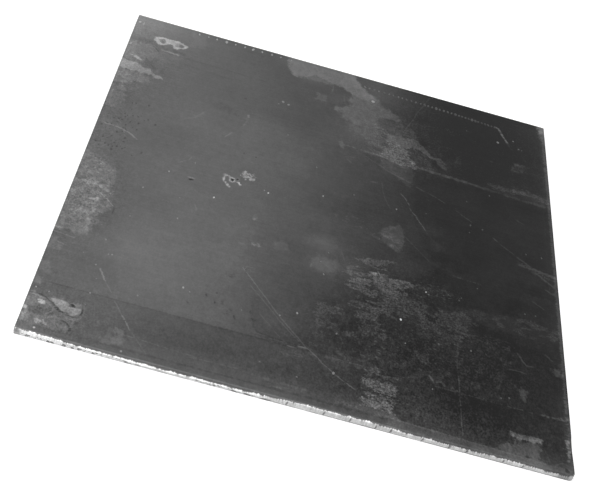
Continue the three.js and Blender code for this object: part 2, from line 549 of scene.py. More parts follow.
# Crusts of pale grains
CRUST_PATCHES = drawn(
    Patch,
    # foot of the film
    ((53, 168, 66, 167, 75, 164, 76, 152, 84, 140, 84, 128.5, 51, 128.5, 46, 138, 48, 150, 54, 156), 28,
     1.7, 1.3, 1.5),
    ((78, 168, 98, 158, 104, 148, 100, 136, 85, 136, 77, 152), 11, 2.6, 1.2, -0.4),
    ((40, 198, 52, 194, 54, 166, 44, 164), 12, 2.6, 1.4, 0.1),
    ((34, 156, 52, 160, 50, 137, 40, 137), 13, 2.4, 1.4, 0),
    # grain of the stain in front of the middle
    ((54, -14, 60, -2, 71, 11, 76, 2, 77, -20, 72, -34, 62, -28), 7, 1.2, 1.2, 0.2),
    # smear behind the light line
    ((160, 145, 164, 142, 184, 143, 196, 147, 206, 146, 226, 138, 226, 133, 160, 135), 15, 2.4, 1.6, 1),
    # left margin
    ((-226, 160, -200, 160, -204, 146, -226, 134), 7, 2.4, 1.6, -0.3),
    ((-226, -12, -206, -20, -196, -32, -194, -58, -190, -74, -188, -92, -196, -108, -198, -138,
     -226, -148), 11, 2, 1, -0.1),
    # field of crust in front of the middle
    ((35, -68, 40, -65, 47, -62, 60, -61, 67, -54, 69, -57, 62, -65, 61, -73, 56, -72, 46, -75, 36, -74),
     19, 1.8, 1.2, 1.3),
    ((26, -84, 38, -83, 42, -90, 40, -98, 26, -98), 18, 1.8, 1.4, 1.8),
    ((44, -83, 56, -80, 66, -85, 79, -84, 83, -81, 89, -88, 84, -94, 84, -108, 66, -110, 60, -112,
     52, -104, 50, -90), 25, 1.9, 1.2, 1.6),
    ((29, -100, 49, -96, 49, -107, 40, -109, 30, -106), 28, 1.5, 1.2, 2),
    ((27, -112, 46, -108, 56, -110, 57, -124, 45, -124, 38, -118, 28, -117), 22, 2, 1.2, 1.7),
    ((70, -114, 84, -107, 97, -108, 101, -118, 106, -124, 112, -116, 124, -112, 134, -108, 146, -121,
     138, -126, 139, -144, 124, -145, 112, -140, 108, -152, 98, -150, 92, -136, 76, -134, 66, -128), 16,
     2, 1.3, 1.8),
    ((134, -108, 142, -98, 151, -98, 156, -108, 148, -114, 142, -118), 9, 2.2, 1.3, 0.6),
    ((57, -112, 70, -112, 72, -126, 64, -128, 58, -122), 16, 2.2, 1.2, 0.8),
    ((160, -106, 168, -98, 173, -100, 171, -108, 174, -117, 167, -118), 9, 1.8, 1.4, 0.7),
    ((183, -99, 190, -93, 204, -95, 209, -100, 224, -98, 224, -102, 206, -103, 190, -104), 13, 1.8, 1.3,
     1.6),
    ((180, -104, 208, -104, 208, -117, 192, -120, 180, -113), 11, 2.4, 1.2, -0.3),
    ((210, -104, 217, -104, 220, -112, 217, -119, 212, -116), 13, 1.8, 1.3, 1.6),
    ((34, -136, 62, -128, 80, -134, 82, -143, 52, -145, 34, -143), 17, 2.4, 1.2, 0.7),
    ((38, -151, 50, -146, 60, -147, 62, -163, 56, -164, 52, -158, 40, -160), 18, 1.6, 1.2, 1.4),
    ((4, -154, 28, -154, 27, -163, 18, -168, 18, -178, 24, -184, 8, -189, 4, -176), 13, 1.8, 1.4, 1),
    ((30, -184, 42, -184, 42, -191, 30, -190), 14, 1.6, 1.4, 0.5),
    ((45, -178, 53, -175, 53, -185, 46, -186), 18, 1.2, 1.4),
    ((100, -151, 118, -158, 132, -164, 134, -146, 122, -147, 112, -144), 14, 2.4, 1.6, 0.5),
    ((70, -210, 78, -211, 78, -222, 70, -220), 10, 1.6, 1.4),
    ((140, -138, 176, -138, 172, -150, 140, -150), 12, 2.6, 1.2, -0.5),
    ((42, -164, 64, -166, 70, -180, 56, -186, 44, -178), 13, 2.2, 1.2, 0.3),
    ((90, -85, 97, -82, 99, -85, 92, -88), 15, 1.4, 1.1, 0.8),
    ((92, -80, 120, -78, 132, -90, 120, -104, 92, -104), 15, 2.2, 1.1, -1.2),
    ((42, -12, 54, -18, 54, -24, 40, -17), 14, 1.6, 1.2, -0.2),
    ((88, -84, 98, -82, 108, -84, 106, -92, 92, -89), 20, 1.6, 1.1, 0.1),
    ((8, 0, 36, 0, 34, -12, 22, -10), 12, 2, 1.2, -1.2),
    # patches along the front
    ((50, -244.5, 78, -245, 77, -261, 56, -261, 53, -256, 50, -256), 33, 1.6, 1, 1.7),
    ((54, -261, 76, -261, 74, -271, 54, -271), 24, 2.4, 1.1, 0.2),
    ((50, -232, 76, -232, 76, -243, 52, -243), 16, 2.4, 1, -0.2),
    ((49, -271, 76, -271, 75, -282, 50, -281), 31, 1.8, 1, 1.4),
    ((30, -285, 76, -286, 78, -289.5, 30, -288.5), 10, 1.8, 1.2, 0.2),
    ((-20, -234, 0, -234, 0, -246, -18, -242), 10, 1.8, 1.2, -0.3),
    ((218, -228, 225, -228, 225, -288, 219, -288, 220, -258), 18, 1.6, 1.2, 0.2),
)

# Scraped and spattered places
BARE_PATCHES = drawn(
    Patch,
    # the double ring at the back left, with its bridge and its tail
    ((-201.5, 259.5, -196, 262.5, -188, 262.5, -181, 263, -176, 263.5, -171, 260.5, -165, 257,
     -166.5, 252, -169, 249.5, -173, 246.5, -175, 242, -179, 244.5, -180, 249, -182, 252, -184.5, 251,
     -187, 247.5, -191, 244.5, -195.5, 244.5, -200, 251), 58, 0.5, 0.8),
    ((-219, 206, -214, 205, -209, 203, -205, 200, -206, 197, -211, 199), 36, 0.5, 1),
    ((-191, 235, -180, 234, -171, 232.5, -171, 230, -190, 231.5), 24, 0.4, 0.8),
    # a scraped patch near the front left corner
    ((-207.5, -250, -202, -249, -195.4, -249.5, -191, -251.3, -187.7, -254.5, -180.6, -254.2, -181, -260,
     -184.2, -265.4, -188.2, -266, -191.4, -263.2, -195.3, -263.8, -200.4, -258.2, -203.9, -254.2), 31,
     0.3, 0.8),
    ((-216, -256, -213, -257, -210, -256, -210, -261, -214, -261.5), 74, 0.4, 0.9),
    ((-223, -249, -211, -251, -213, -255, -219, -259, -224, -262), 14, 1.6, 1.1, 0.6),
    ((-213, -281.5, -209, -282, -204.5, -285, -208, -287, -213, -285), 40, 1.4, 1, 0.6),
    ((-217, -277, -209, -276.5, -208, -279, -216, -280), 12, 1.2, 1),
    ((-194, -280.5, -189, -280, -187.5, -284, -190, -287.5, -194.5, -286), 12, 1, 1.2),
    ((-226, -268, -222, -267.5, -221.5, -272.5, -226, -273), 50, 0.4, 1),
    ((-226, -275, -221, -276.5, -219, -287.5, -223, -288, -228, -282), 24, 1, 1.1),
    # streaks of the mottled margin
    ((-218, -60.5, -214.5, -58.5, -210.5, -60.2, -205, -59.8, -202, -61.5, -203.5, -64, -208, -63.4,
     -213, -62.5), 27, 0.8, 0.9, 1.6),
    ((-202, -61, -197, -63, -192, -66, -187.5, -71, -189, -73.5, -192.5, -70.5, -197, -67, -202, -64.5),
     26, 0.9, 0.9, 1.2),
    ((-215, -87, -210, -84.6, -206, -86, -201, -83.5, -199, -85, -200.5, -88.5, -205, -90, -210, -88), 28,
     0.8, 0.9, 1.6),
    ((-213, -92, -196, -90, -194, -112, -203, -124, -214, -118), 15, 2.2, 1, -0.3),
    # weld spatter in the middle
    ((-98.4, 18.4, -95.4, 18, -90.4, 15.2, -91.6, 12.8, -96.4, 15.4), 62, 0.2, 0.75),
    ((-98.2, 16.5, -96.4, 16.5, -95.2, 5, -96.6, 3.4, -97.8, 8), 62, 0.2, 0.8),
    ((-96.4, 4.6, -94.2, 4, -89, -3.2, -89.6, -6.2, -93, -3.2), 62, 0.2, 0.8),
    ((-92.2, 13, -89.5, 15.6, -86.6, 13, -86.6, 7, -89, 4.6, -91.8, 6.5), 64, 0.2, 0.8),
    ((-85, 9, -82, 9, -79.5, 4, -81, 3.6), 104, 0.4, 0.8),
    ((-81.8, 26, -79.5, 28, -77.5, 33, -74, 31, -70, 28, -70, 20, -77, 17.5, -81.5, 21), 56, 1.4, 0.8,
     -0.1),
    # rubbed marks in front of the middle
    ((-62, -40, -58.5, -42, -59.5, -47, -62, -47), 9, 0.8, 1.6),
    ((-63.5, -47.5, -60.5, -47, -60.5, -50, -63.5, -50.5), 40, 0.4, 1),
    ((-60, -88, -54, -87, -52.5, -92, -58, -92), 22, 1.4, 1.6),
    ((-72, -92, -66, -93, -68, -97), 7, 0.8, 1.4),
    ((126, 178, 130, 177, 130, 166, 125, 164), 12, 1, 1.6),
    ((63, -27, 68, -27, 68, -31, 64, -31), 16, 0.8, 1.6),
    ((188, 200, 200, 200, 196, 194, 190, 193), 12, 0.4, 2),
    ((56, -13, 61, -15, 67, -16, 66, -18.5, 57, -16), 12, 0.8, 1.4),
    # brighter lumps of the crusts
    ((66, -86, 78, -85, 78, -92, 68, -92.5), 12, 1.2, 1.3),
    ((52, -92, 59, -90.5, 61, -98, 57, -102, 52, -99), 10, 1, 1.2),
    ((50, -83, 54, -82.5, 54, -86, 50, -86), 38, 0.5, 1.1),
    ((52, -137.5, 62, -137, 62, -140.5, 52, -140.5), 18, 0.8, 1.2),
    ((78.5, 142, 82.5, 142, 82.5, 136, 80, 133), 18, 0.6, 1.1),
    ((183, 143, 200, 145, 203, 137, 184, 135), 9, 1.6, 1.8),
    ((45.5, -162.5, 49, -162.5, 49, -166, 46, -166), 26, 0.5, 1.2),
    # grains scattered in front of the crusts
    ((20, -152, 176, -145, 176, -226, 60, -228, 4, -222, 8, -190, 22, -186), 10, 2.2, 1, -1),
    # bright head of a patch at the front
    ((171.5, -263, 177, -264, 181, -265, 190, -263, 199.5, -264, 200, -270, 190, -271.5, 180, -271.5,
     173, -270), 32, 0.6, 0.9),
    # the bright back right corner
    ((216.5, 304, 226, 304, 226, 283, 218.5, 282), 50, 0.8, 1.2),
    ((218, 284, 226, 284, 226, 258, 222.5, 260, 220, 273), 30, 0.9, 1.2),
    # a paler strip over the front rim on the right
    ((140, -292.5, 206, -295, 206, -303, 140, -303), 8, 0.6, 1.4),
    ((212, -158, 219, -156, 224, -160, 223, -168, 214, -168), 20, 1.4, 1.6),
)

# Dark places, and holes in the pale ones
SHADE_PATCHES = drawn(
    Patch,
    # holes of the double ring, and the dark round it
    ((-196.5, 257, -192, 259.5, -189, 256, -189, 250, -192, 248.3, -196, 252), -50, 0.4, 0.9),
    ((-180, 258, -174.5, 258.5, -174.5, 249.5, -178, 250), -26, 0.8, 1),
    ((-174, 257, -169.5, 256.5, -169.5, 251.5, -173.5, 249.5), -54, 0.3, 0.9),
    ((-228, 250, -204, 250, -196, 241, -165, 238, -165, 235, -198, 237, -228, 241), -9, 1.2, 2),
    ((-190, 232, -150, 230.5, -80, 228, -80, 225, -150, 227.5, -186, 228), -5, 0.6, 1.4),
    ((-186, 217, -150, 215, -110, 212, -110, 209, -150, 212, -184, 213), -5, 0.6, 1.4),
    ((-205, 208, -198, 203, -190, 189, -190, 182, -198, 189, -206, 198), -8, 1.4, 1.8),
    ((-186, 196, -170, 182, -172, 176, -184, 181), -5, 1.4, 2.4),
    ((-126, 150, -102, 152, -100, 138, -122, 141), -6, 2, 2.4),
    # the dark field between the light line and the crusts
    ((84, 129, 226, 121, 226, -50, 140, -50, 110, -40, 96, -20, 88, 20, 84, 60), -4, 2, 1.4),
    ((28, 132, 50, 131, 50, 106), -6, 1.2, 1.6),
    ((42, 218, 60, 220, 72, 214, 72, 204, 46, 203), -3, 1.2, 2.6),
    ((102, 158, 106, 156, 105, 146, 102, 147), -12, 0.8, 1.2),
    ((108, -45, 126, -50, 120, -72, 98, -92, 86, -85, 94, -66), -6, 1.2, 3.4),
    # dark gaps between the crusts
    ((126, -50, 190, -44, 186, -92, 176, -97, 150, -96, 110, -104, 100, -100, 120, -74), -4, 2.2, 2.4),
    ((140, -122, 182, -122, 184, -150, 146, -152), -5, 2.2, 2),
    ((101, -128, 109, -128, 109, -137, 103, -137), -20, 1, 1.4),
    # mottling of the left margin
    (MOTTLED_MARGIN, 11, 2, 0.9, -0.2),
    # step of shade beside the scored pair
    ((-50, -168, -50, -195, -46, -210, -43, -219, -36, -222, -5, -225, 12, -224, 0, -190, -16, -172,
     -30, -166), -3, 0.9, 1.4),
    ((-96, 179, -94, 179, -94, 176, -96, 176), -14, 0.3, 0.9),
    ((217.2, -287, 220.4, -287, 220.8, -298, 217.2, -298), -26, 0.4, 0.9),
    # the outline of the scraped patch, and the dark inside of its loops
    ((-221, -267, -214, -265, -206, -264, -202.5, -268, -204, -274, -219, -276), -17, 1.2, 1.4),
    ((-201, -259.5, -199, -259.5, -196.5, -263.5, -193.5, -264, -193.5, -266.4, -197.5, -266), -40, 0.2,
     0.8),
    ((-192, -251, -188, -251, -186.5, -255, -191, -255), -46, 0.4, 0.8),
    ((-228, -250, -206, -250, -206, -252, -228, -252), -10, 0.3, 0.9),
    # a dent in the middle of the left half, and the holes of the spatter
    ((-127.8, -8.1, -123.4, -8.1, -123.4, -10.8, -127.8, -10.8), -54, 0.2, 0.7),
    ((-90.6, 12.4, -88, 12.4, -87.5, 7.6, -90.2, 7.6), -150, 0.1, 0.7),
    ((-85.8, 15.6, -83.2, 15.6, -83, 11.6, -85.4, 11.6), -60, 0.1, 0.7),
    # thin dark lines behind the front rim
    ((-228, -290.5, 76, -289.6, 76, -291.8, -228, -292.5), -10, 0.5, 1),
    ((-22, -290.5, 30, -290, 72, -290.6, 72, -292.4, 20, -292.2), -14, 0.5, 1),
    # painted shade along the back rim, where the rolled edge turns away
    ((-222, 297.8, 70, 297.8, 70, 295.4, -222, 295.4), -7, 0.4, 1),
    ((70, 303, 216, 303, 216, 297.4, 70, 297.4), -24, 0.2, 0.9),
)

# Fine scratches: path, width, lift
FINE_SCORES = drawn(
    Scratch,
    # the arc at the left margin
    ((-226, 54, -217, 51.8), 1.8, 12),
    ((-217, 51.5, -206, 50, -198, 47.5, -191, 43.5, -185, 36.5), 2.2, 26),
    # the scored pair down to the front
    ((-63, -132, -51, -150, -38, -170, -28, -186, -18, -200, -8, -213, 0, -224), 1.5, 17),
    ((2, -226, 8, -231, 15, -240, 24, -248), 1.5, 23), ((28, -252, 40, -261, 43, -263), 1.6, 30),
    # dark chips left of the pair
    ((-88, -187.2, -87.7, -188.4), 2.2, -24), ((-101.8, -205.2, -101.5, -205.7), 2.2, -20),
    ((-62.5, -206.6, -62.2, -208.2, -61.5, -210.6), 1.9, -17), ((-69.6, -207.2, -68.2, -206.7), 2.4, -14),
    ((-73.6, -191, -73.1, -194.4), 2.8, -12), ((-66.4, -199.5, -65.6, -201), 2.6, -12),
    ((-72.3, -151, -71, -151.2), 2.4, -18), ((-69.2, -145.4, -68.8, -147), 1.8, -8),
    ((-50.2, -194, -49.8, -195.6), 1.8, -12), ((-47.4, -204.6, -44, -205.4), 2.8, -12),
    # the hooked scratch at the back right
    ((171, 270, 173, 268, 174.7, 264), 3, 58), ((175.8, 260.5, 177.8, 253, 178.8, 250), 3, 62),
    ((180.2, 247, 181.4, 244, 182.3, 241.3), 2.8, 58), ((182.5, 239, 184, 235, 187, 229), 2.2, 14),
    ((97, 298, 90, 272, 84, 255, 80, 235, 76, 222, 70, 200), 1.5, 13), ((33, 127, 44, 119), 1.6, 12),
    ((47, 117, 55, 110.5, 66, 104, 80, 98), 3, 13), ((-130.5, 31, -132, 26), 1.5, 12),
    ((-136, 21, -140, 16), 1.5, 12),
    # long scratch near the front left, by its bites
    ((-177.5, -191, -171, -206), 1.8, 28), ((-170, -208, -163, -220), 1.4, 9),
    ((-158, -232, -155, -237, -151, -245), 1.4, 12), ((-149, -248, -140.5, -264), 1.7, 24),
    ((-137, -269, -123, -290), 1.4, 8),
    # upright scratch near the front right
    ((129, -160, 128, -190, 129.5, -206), 1.4, 12),
    ((129.5, -207, 130, -215, 131, -240, 133, -285), 1.5, 20),
    ((112, -230, 131, -230.3, 150, -230.5), 2, 15),
    ((182.5, -150, 186, -159, 190, -165, 195.5, -164), 1.6, 19), ((200, -60, 209, -67), 1.6, 18),
    ((-225, -153, -207, -156), 1.8, 16), ((-218, -168, -211, -170), 1.8, 14),
    ((-116, -52, -114, -59), 1.6, 12), ((-126.6, -6, -124.8, -6), 2.2, 58),
    ((105, -218, 108, -224), 2, 28), ((-146, 103, -137, 111, -131, 124), 2.6, 8),
    ((-222, 117, -221.5, 121), 1.6, 26), ((55, -80, 58, -87), 1.8, 32),
    ((-199, 236, -197, 233, -193.5, 229), 1.6, -30), ((188, 82, 194, 78), 1.8, 15),
    ((185.6, 184.5, 187.5, 182.6, 193.5, 181.5), 2.2, 9), ((137, 244, 143.5, 241.5), 1.8, 9),
    ((134, 225, 148, 225), 2.2, 5), ((188, -1, 206, -3.5, 224, -8), 5, 22),
    ((221, -257, 221.3, -266), 3.4, 52), ((222.6, -270, 221, -273, 221.5, -278), 3.6, 56),
    ((220.5, -283, 221, -285), 2.4, 38), ((196, -262, 201, -276, 205, -290), 1.6, 7),
    ((206, -296, 212, -290, 217, -288), 1.8, 12), ((-208, 65, -204, 60), 1.6, 12),
    ((-202, -72.3, -196.7, -76.6, -190.5, -83, -185, -90), 1.7, 27),
    ((-200.5, -81.5, -199.8, -86), 1.7, 14), ((-197.7, -83.1, -193.4, -82.3), 1.7, 16),
    ((-182.8, -95.7, -182.9, -101), 1.6, -22), ((-59, -128.5, -55, -128), 2, 10),
    ((-5, -97, -5, -102), 1.6, 12), ((14, 115, 18, 117, 22, 117), 2.2, 11), ((16, 110, 19, 106), 2.2, 12),
    ((42, 79, 46, 79.5), 2.2, 15), ((52, 82, 53.5, 67, 56.5, 53, 61.5, 38), 1.3, 9),
    ((55.5, -13.5, 66.5, -18.8), 2.4, 8),
    ((127, 67.5, 129, 66), 2, 14), ((20, -61, 24, -77), 1.6, 7),
    # outlines of the loops near the front left corner
    ((-224, -248.2, -217.3, -248.3, -211, -249.3), 1.5, -22),
    ((-210.8, -250.4, -207.5, -253.1, -203.5, -256.6, -200.5, -260.5), 1.5, -28),
    ((-211, -256.2, -206.4, -258.8, -202, -263, -202.5, -268, -206, -272), 1.8, 16),
    ((-192.7, -276, -189.9, -277, -186.6, -280.2, -184.5, -284.5, -185.5, -289), 2.4, -26),
    ((-180.3, -255, -179.8, -260.4, -181.5, -265.6, -185, -268.3, -190, -267.5), 1.5, -22),
    ((-8, 260, -8.5, 247), 2, 13), ((72, -288.5, 150, -292.5, 216, -295.5), 2.2, 9),
    # bites of the long scratch on the right
    ((87, 92.5, 94, 88.5), 1.8, 17), ((97, 87.5, 100, 86), 1.4, 10), ((101, 85.5, 104, 83.5), 2.2, 20),
    ((106, 83, 115, 76.5), 1.9, 24), ((132, 62.5, 142, 54.5), 1.9, 19), ((164, 34.5, 167, 31), 2.2, 24),
    ((171, 26, 183, 15.5), 2.2, 15), ((187, 11, 199, 1), 2.8, 20),
    ((204, -8, 213, -17, 223, -27), 2.8, 18),
    # its steep neighbour
    ((72, 70, 75, 66, 80, 54), 1.5, 30), ((81, 47, 82, 44), 1.4, 20), ((84, 41, 88, 35), 1.6, 32),
    ((88, 33, 97, 15), 1.5, 27), ((99, 10, 104, 1), 1.3, 8),
    ((77, -6, 86, -18, 97, -33, 101, -38), 1.4, 10),
)

# Scratches that cross the fine ones, and broad soft strips
CROSSING_SCORES = drawn(
    Scratch,
    ((-223, -250.3, -217.5, -250.4, -211, -252.6), 1.5, 20),
    ((-179.6, -249, -178, -257.4, -179.4, -266.8, -184.4, -271.6, -192, -271), 1.5, 10),
    ((-195.5, -284, -193, -288, -189, -288.6), 1.5, -12), ((-188, -249.8, -186, -251.4), 1.6, 26),
    ((-53, -157, -43, -170, -33, -184, -24, -197, -13, -211, -6, -218), 1.4, 13),
    ((-198.5, 46, -196, 38), 1.8, 14), ((-41, -195, -36, -202, -31, -208), 1.3, 10),
    ((-27, -214, -16, -226), 1.3, 11), ((110, -226, 115, -221, 118, -227), 2, 15),
    ((174, -177.5, 180, -176, 187, -177), 2.2, 17), ((208, -141, 215, -149), 2, 17),
    ((213, -33, 224, -43), 2.4, 17), ((-105, 88, -100, 99), 1.5, 15), ((-88, 144, -88, 140), 2.4, 26),
    # the painted highlight that runs with the right rim
    ((222.6, 258, 223, 150, 223, 0, 223, -120, 222.6, -228), 3.4, 24),
    # the dark line behind the front strip
    ((-212, -229, -120, -229, -40, -229, -2, -229), 2.4, -9),
    # the fold of shade beside the scored pair
    ((-49, -186, -48, -196, -46, -204), 3, -2),
    ((-46.5, -205, -45.5, -212, -42, -219), 2.6, -8),
    ((-42, -220.5, -30, -223, -8, -224.5), 2.4, -12),
    # a bright end and a dark chip of that pair
    ((-6, -225.4, -0.6, -225.2), 2.2, 38), ((-61.2, -132.4, -60.2, -133.6), 2.6, -14),
)

# Scratches that skip
SKIPPING_SCORES = drawn(
    Scratch,
    # the skipping line along the front
    ((18, -229, 85, -229.5, 112, -230), 1.8, 13), ((152, -230.6, 190, -231), 2.2, 22),
    ((190, -231, 224, -230), 3, 24), ((-16.5, -228.4, -7, -229), 2.4, 30),
    ((-142, -273, -85, -277), 1.6, 14), ((-90, -279, -50, -277), 2, 12),
    ((-88, 134, -90, 121, -93, 114), 1.6, 12), ((-198, 52, -196, 46), 1.3, -20),
    ((195, -6, 210, -12, 222, -14), 5, 8), ((-40, -280, 5, -282), 3.4, 13),
    ((-22, -288, -10, -288), 2.4, 16), ((75, 194, 130, 192, 180, 188, 224, 186), 2.4, 11),
    ((85, 225, 165, 225), 2.4, 9), ((124, -52, 150, -55), 2.6, 17), ((4, 246, 6, 228), 2.4, 12),
    ((97, -95, 97, -118), 2, 8), ((15, -164, 27, -164), 2, 12), ((27, -195, 30, -204), 1.6, 16),
    ((58, -208, 61, -218), 2, 16),
)

# How thickly fine pale grit lies
GRIT_CLOUDS = clouds(
    (60, -100, 40, 40, 0.8), (95, -180, 85, 44, 0.9), (115, -90, 16, 12, 0.6), (66, 152, 26, 34, 0.7),
    (-205, -85, 20, 60, 0.6), (62, -265, 20, 22, 0.9), (120, -255, 90, 40, 0.4),
    (-200, -268, 24, 26, 0.5), (-215, 190, 20, 60, 0.4), (130, 185, 55, 50, 0.5),
    (75, 45, 60, 60, 0.45), (112, -78, 24, 26, 0.6),
)

# Where the scale is pitted
PITS_CLOUDS = clouds(
    (-206, 76, 24, 28, 1.9), (-204, 18, 18, 20, 1.9), (-140, 80, 70, 60, 0.07), (-68, 62, 20, 18, 0.3),
    (-75, -195, 22, 26, 0.3), (-130, -120, 50, 40, 0.07),
)

# Where the grain is coarser than that of clean scale, and by how many times
COARSE_CLOUDS = clouds(
    (-228, 100, 22, 260, 1.2), (-208, -80, 22, 66, 2.2), (140, 220, 80, 70, 2.2), (82, -115, 44, 45, 1.4),
    (100, -195, 90, 50, 1.6), (60, 160, 40, 40, 1.2), (120, -270, 110, 36, 1.8),
    (-210, -270, 40, 30, 2.2), (-204, 215, 30, 80, 1.2), (-212, 150, 16, 40, 1),
    (-70, -260, 160, 40, 0.5),
)


class TopFaceWear:
    """The shades, patches and scratches of the top face, and its attributes."""

    # The scale goes from a paler left to a darker right, partly its own tone and partly a painted
    # reflection of its sheen, which is paler on the left. Both shades, and where the change starts
    # and ends, move from the front of the plate to its back. The front strip lay under another
    # sheet, so it has its own shades up to a straight line.
    rows = (-230.0, -228.0, -180.0, -60.0, 60.0, 200.0)
    left_shades = (101.0, 104.0, 104.0, 103.0, 101.0, 102.0)
    right_shades = (46.0, 50.0, 48.0, 53.0, 54.0, 52.0)
    fade_starts = (-215.0, -125.0, -120.0, -95.0, -95.0, -190.0)
    fade_ends = (150.0, 58.0, 62.0, 122.0, 122.0, 165.0)

    # The wear is laid out for square rims, and is drawn in a little from the rolled ones
    spread = (1.0012, 1.0027)
    setback = 0.5

    # How deep a place lies that no patch is near, in softnesses
    far_outside = -30.0

    # How far from a scratch its layer still belongs to it, how its ends fade, and how far
    # along the layer's noise the next scratch starts
    score_reach = 6.5
    score_end_fade = 2.2
    score_stride = 100.0

    fields = (GRIT_CLOUDS, PITS_CLOUDS, COARSE_CLOUDS)
    patches = dict(zip(Layer, (FILM_PATCHES, CRUST_PATCHES, BARE_PATCHES, SHADE_PATCHES)))
    scratches = dict(zip(Score, (FINE_SCORES, CROSSING_SCORES, SKIPPING_SCORES)))

    def shade(self, x: np.ndarray, y: np.ndarray) -> np.ndarray:
        """Shade of the bare scale, with its painted reflection, from 0 to 1, as a display shows it.

        Args:
            x: the places along X, mm.
            y: the places along Y, mm.

        Returns:
            The shades.
        """
        start, end, left, right = (
            np.interp(y, self.rows, values)
            for values in (self.fade_starts, self.fade_ends, self.left_shades, self.right_shades)
        )
        shade = left + (right - left) * ease((x - start) / (end - start), 0.0, 1.0)
        return (shade + sum(cloud.at(x, y) for cloud in SHADE_CLOUDS)) / SHADES

    def patch_layer(self, layer: Layer, x: np.ndarray, y: np.ndarray) -> np.ndarray:
        """Attribute of a layer of patches.

        Args:
            layer: which layer.
            x: the places along X, mm.
            y: the places along Y, mm.

        Returns:
            For each place the depth inside the nearest patch and how far its outline
            strays, both in its softnesses, with its lift between them.
        """
        found = np.tile((self.far_outside, 0.0, 1.0), (len(x), 1))
        for patch in self.patches[layer]:
            depth = np.minimum(depth_inside(x, y, patch.outline), patch.full * patch.ragged) / patch.soft
            nearer = depth > found[:, 0]
            found[nearer] = (0.0, patch.lift / SHADES, patch.ragged / patch.soft)
            found[nearer, 0] = depth[nearer]
        return found

    def score_layer(self, layer: Score, x: np.ndarray, y: np.ndarray) -> np.ndarray:
        """Attribute of a layer of scratches.

        Args:
            layer: which layer.
            x: the places along X, mm.
            y: the places along Y, mm.

        Returns:
            For each place the distance along the nearest scratch, mm, the distance from
            its middle line in half widths, and its lift.
        """
        found = np.zeros((len(x), 3))
        nearest = np.full(len(x), self.score_reach)
        for order, scratch in enumerate(self.scratches[layer]):
            run = self.score_stride * order
            for (ax, ay), (bx, by) in zip(scratch.path, scratch.path[1:]):
                length = math.hypot(bx - ax, by - ay)
                dx, dy = (bx - ax) / length, (by - ay) / length
                along = (x - ax) * dx + (y - ay) * dy
                across = (y - ay) * dx - (x - ax) * dy
                past = np.maximum(np.maximum(-along, along - length), 0.0)
                far = np.hypot(across, past)
                nearer = far < nearest
                lift = scratch.lift / SHADES * np.clip(1.0 - past / self.score_end_fade, 0.0, 1.0)
                values = np.stack((run + along, across / (scratch.width / 2), lift), 1)
                found[nearer] = values[nearer]
                nearest[nearer] = far[nearer]
                run += length
        return found

    def attributes(self, x: np.ndarray, y: np.ndarray) -> dict[str, np.ndarray]:
        """All attributes of the top face.

        Args:
            x: the places along X, mm.
            y: the places along Y, mm.

        Returns:
            Each attribute by name: one number or three for each place.
        """
        x, y = x * self.spread[0], y * self.spread[1] + self.setback
        made: dict[str, np.ndarray] = {"shade_of_scale": self.shade(x, y)}
        for layer in Layer:
            made[layer.value] = self.patch_layer(layer, x, y)
        for score in Score:
            made[score.value] = self.score_layer(score, x, y)
        fields = (sum(cloud.at(x, y) for cloud in field) for field in self.fields)
        made["texture_of_scale"] = np.stack(list(fields), 1)
        return made


# ---------------------------------------------------------------- finishes

# In every finish a shade runs from 0 to 1, as a display shows it, and a depth or a strength
# is what a noise or a mark takes or adds there. A span is where a smooth step starts and
# ends, and a stretch squeezes the place, which draws a noise out.


def new_material(name: str) -> tuple[Material, Tree]:
    """An empty material, with the tree that its nodes go into."""
    made = bpy.data.materials.new(name)
    made.use_nodes = True
    return made, Tree(made.node_tree)


def principled(tree: Tree, values: dict[str, object]) -> None:
    """Ends a material's tree in one Principled shader.

    Args:
        tree: the material's tree.
        values: what its sockets get.
    """
    shader = tree.node("ShaderNodeBsdfPrincipled", values)["BSDF"]
    tree.node("ShaderNodeOutputMaterial", {"Surface": shader})


def grey(tree: Tree, level: "Wire | float") -> Wire:
    """A neutral colour of that level."""
    values = {"Red": level, "Green": level, "Blue": level}
    return tree.node("ShaderNodeCombineColor", values)["Color"]


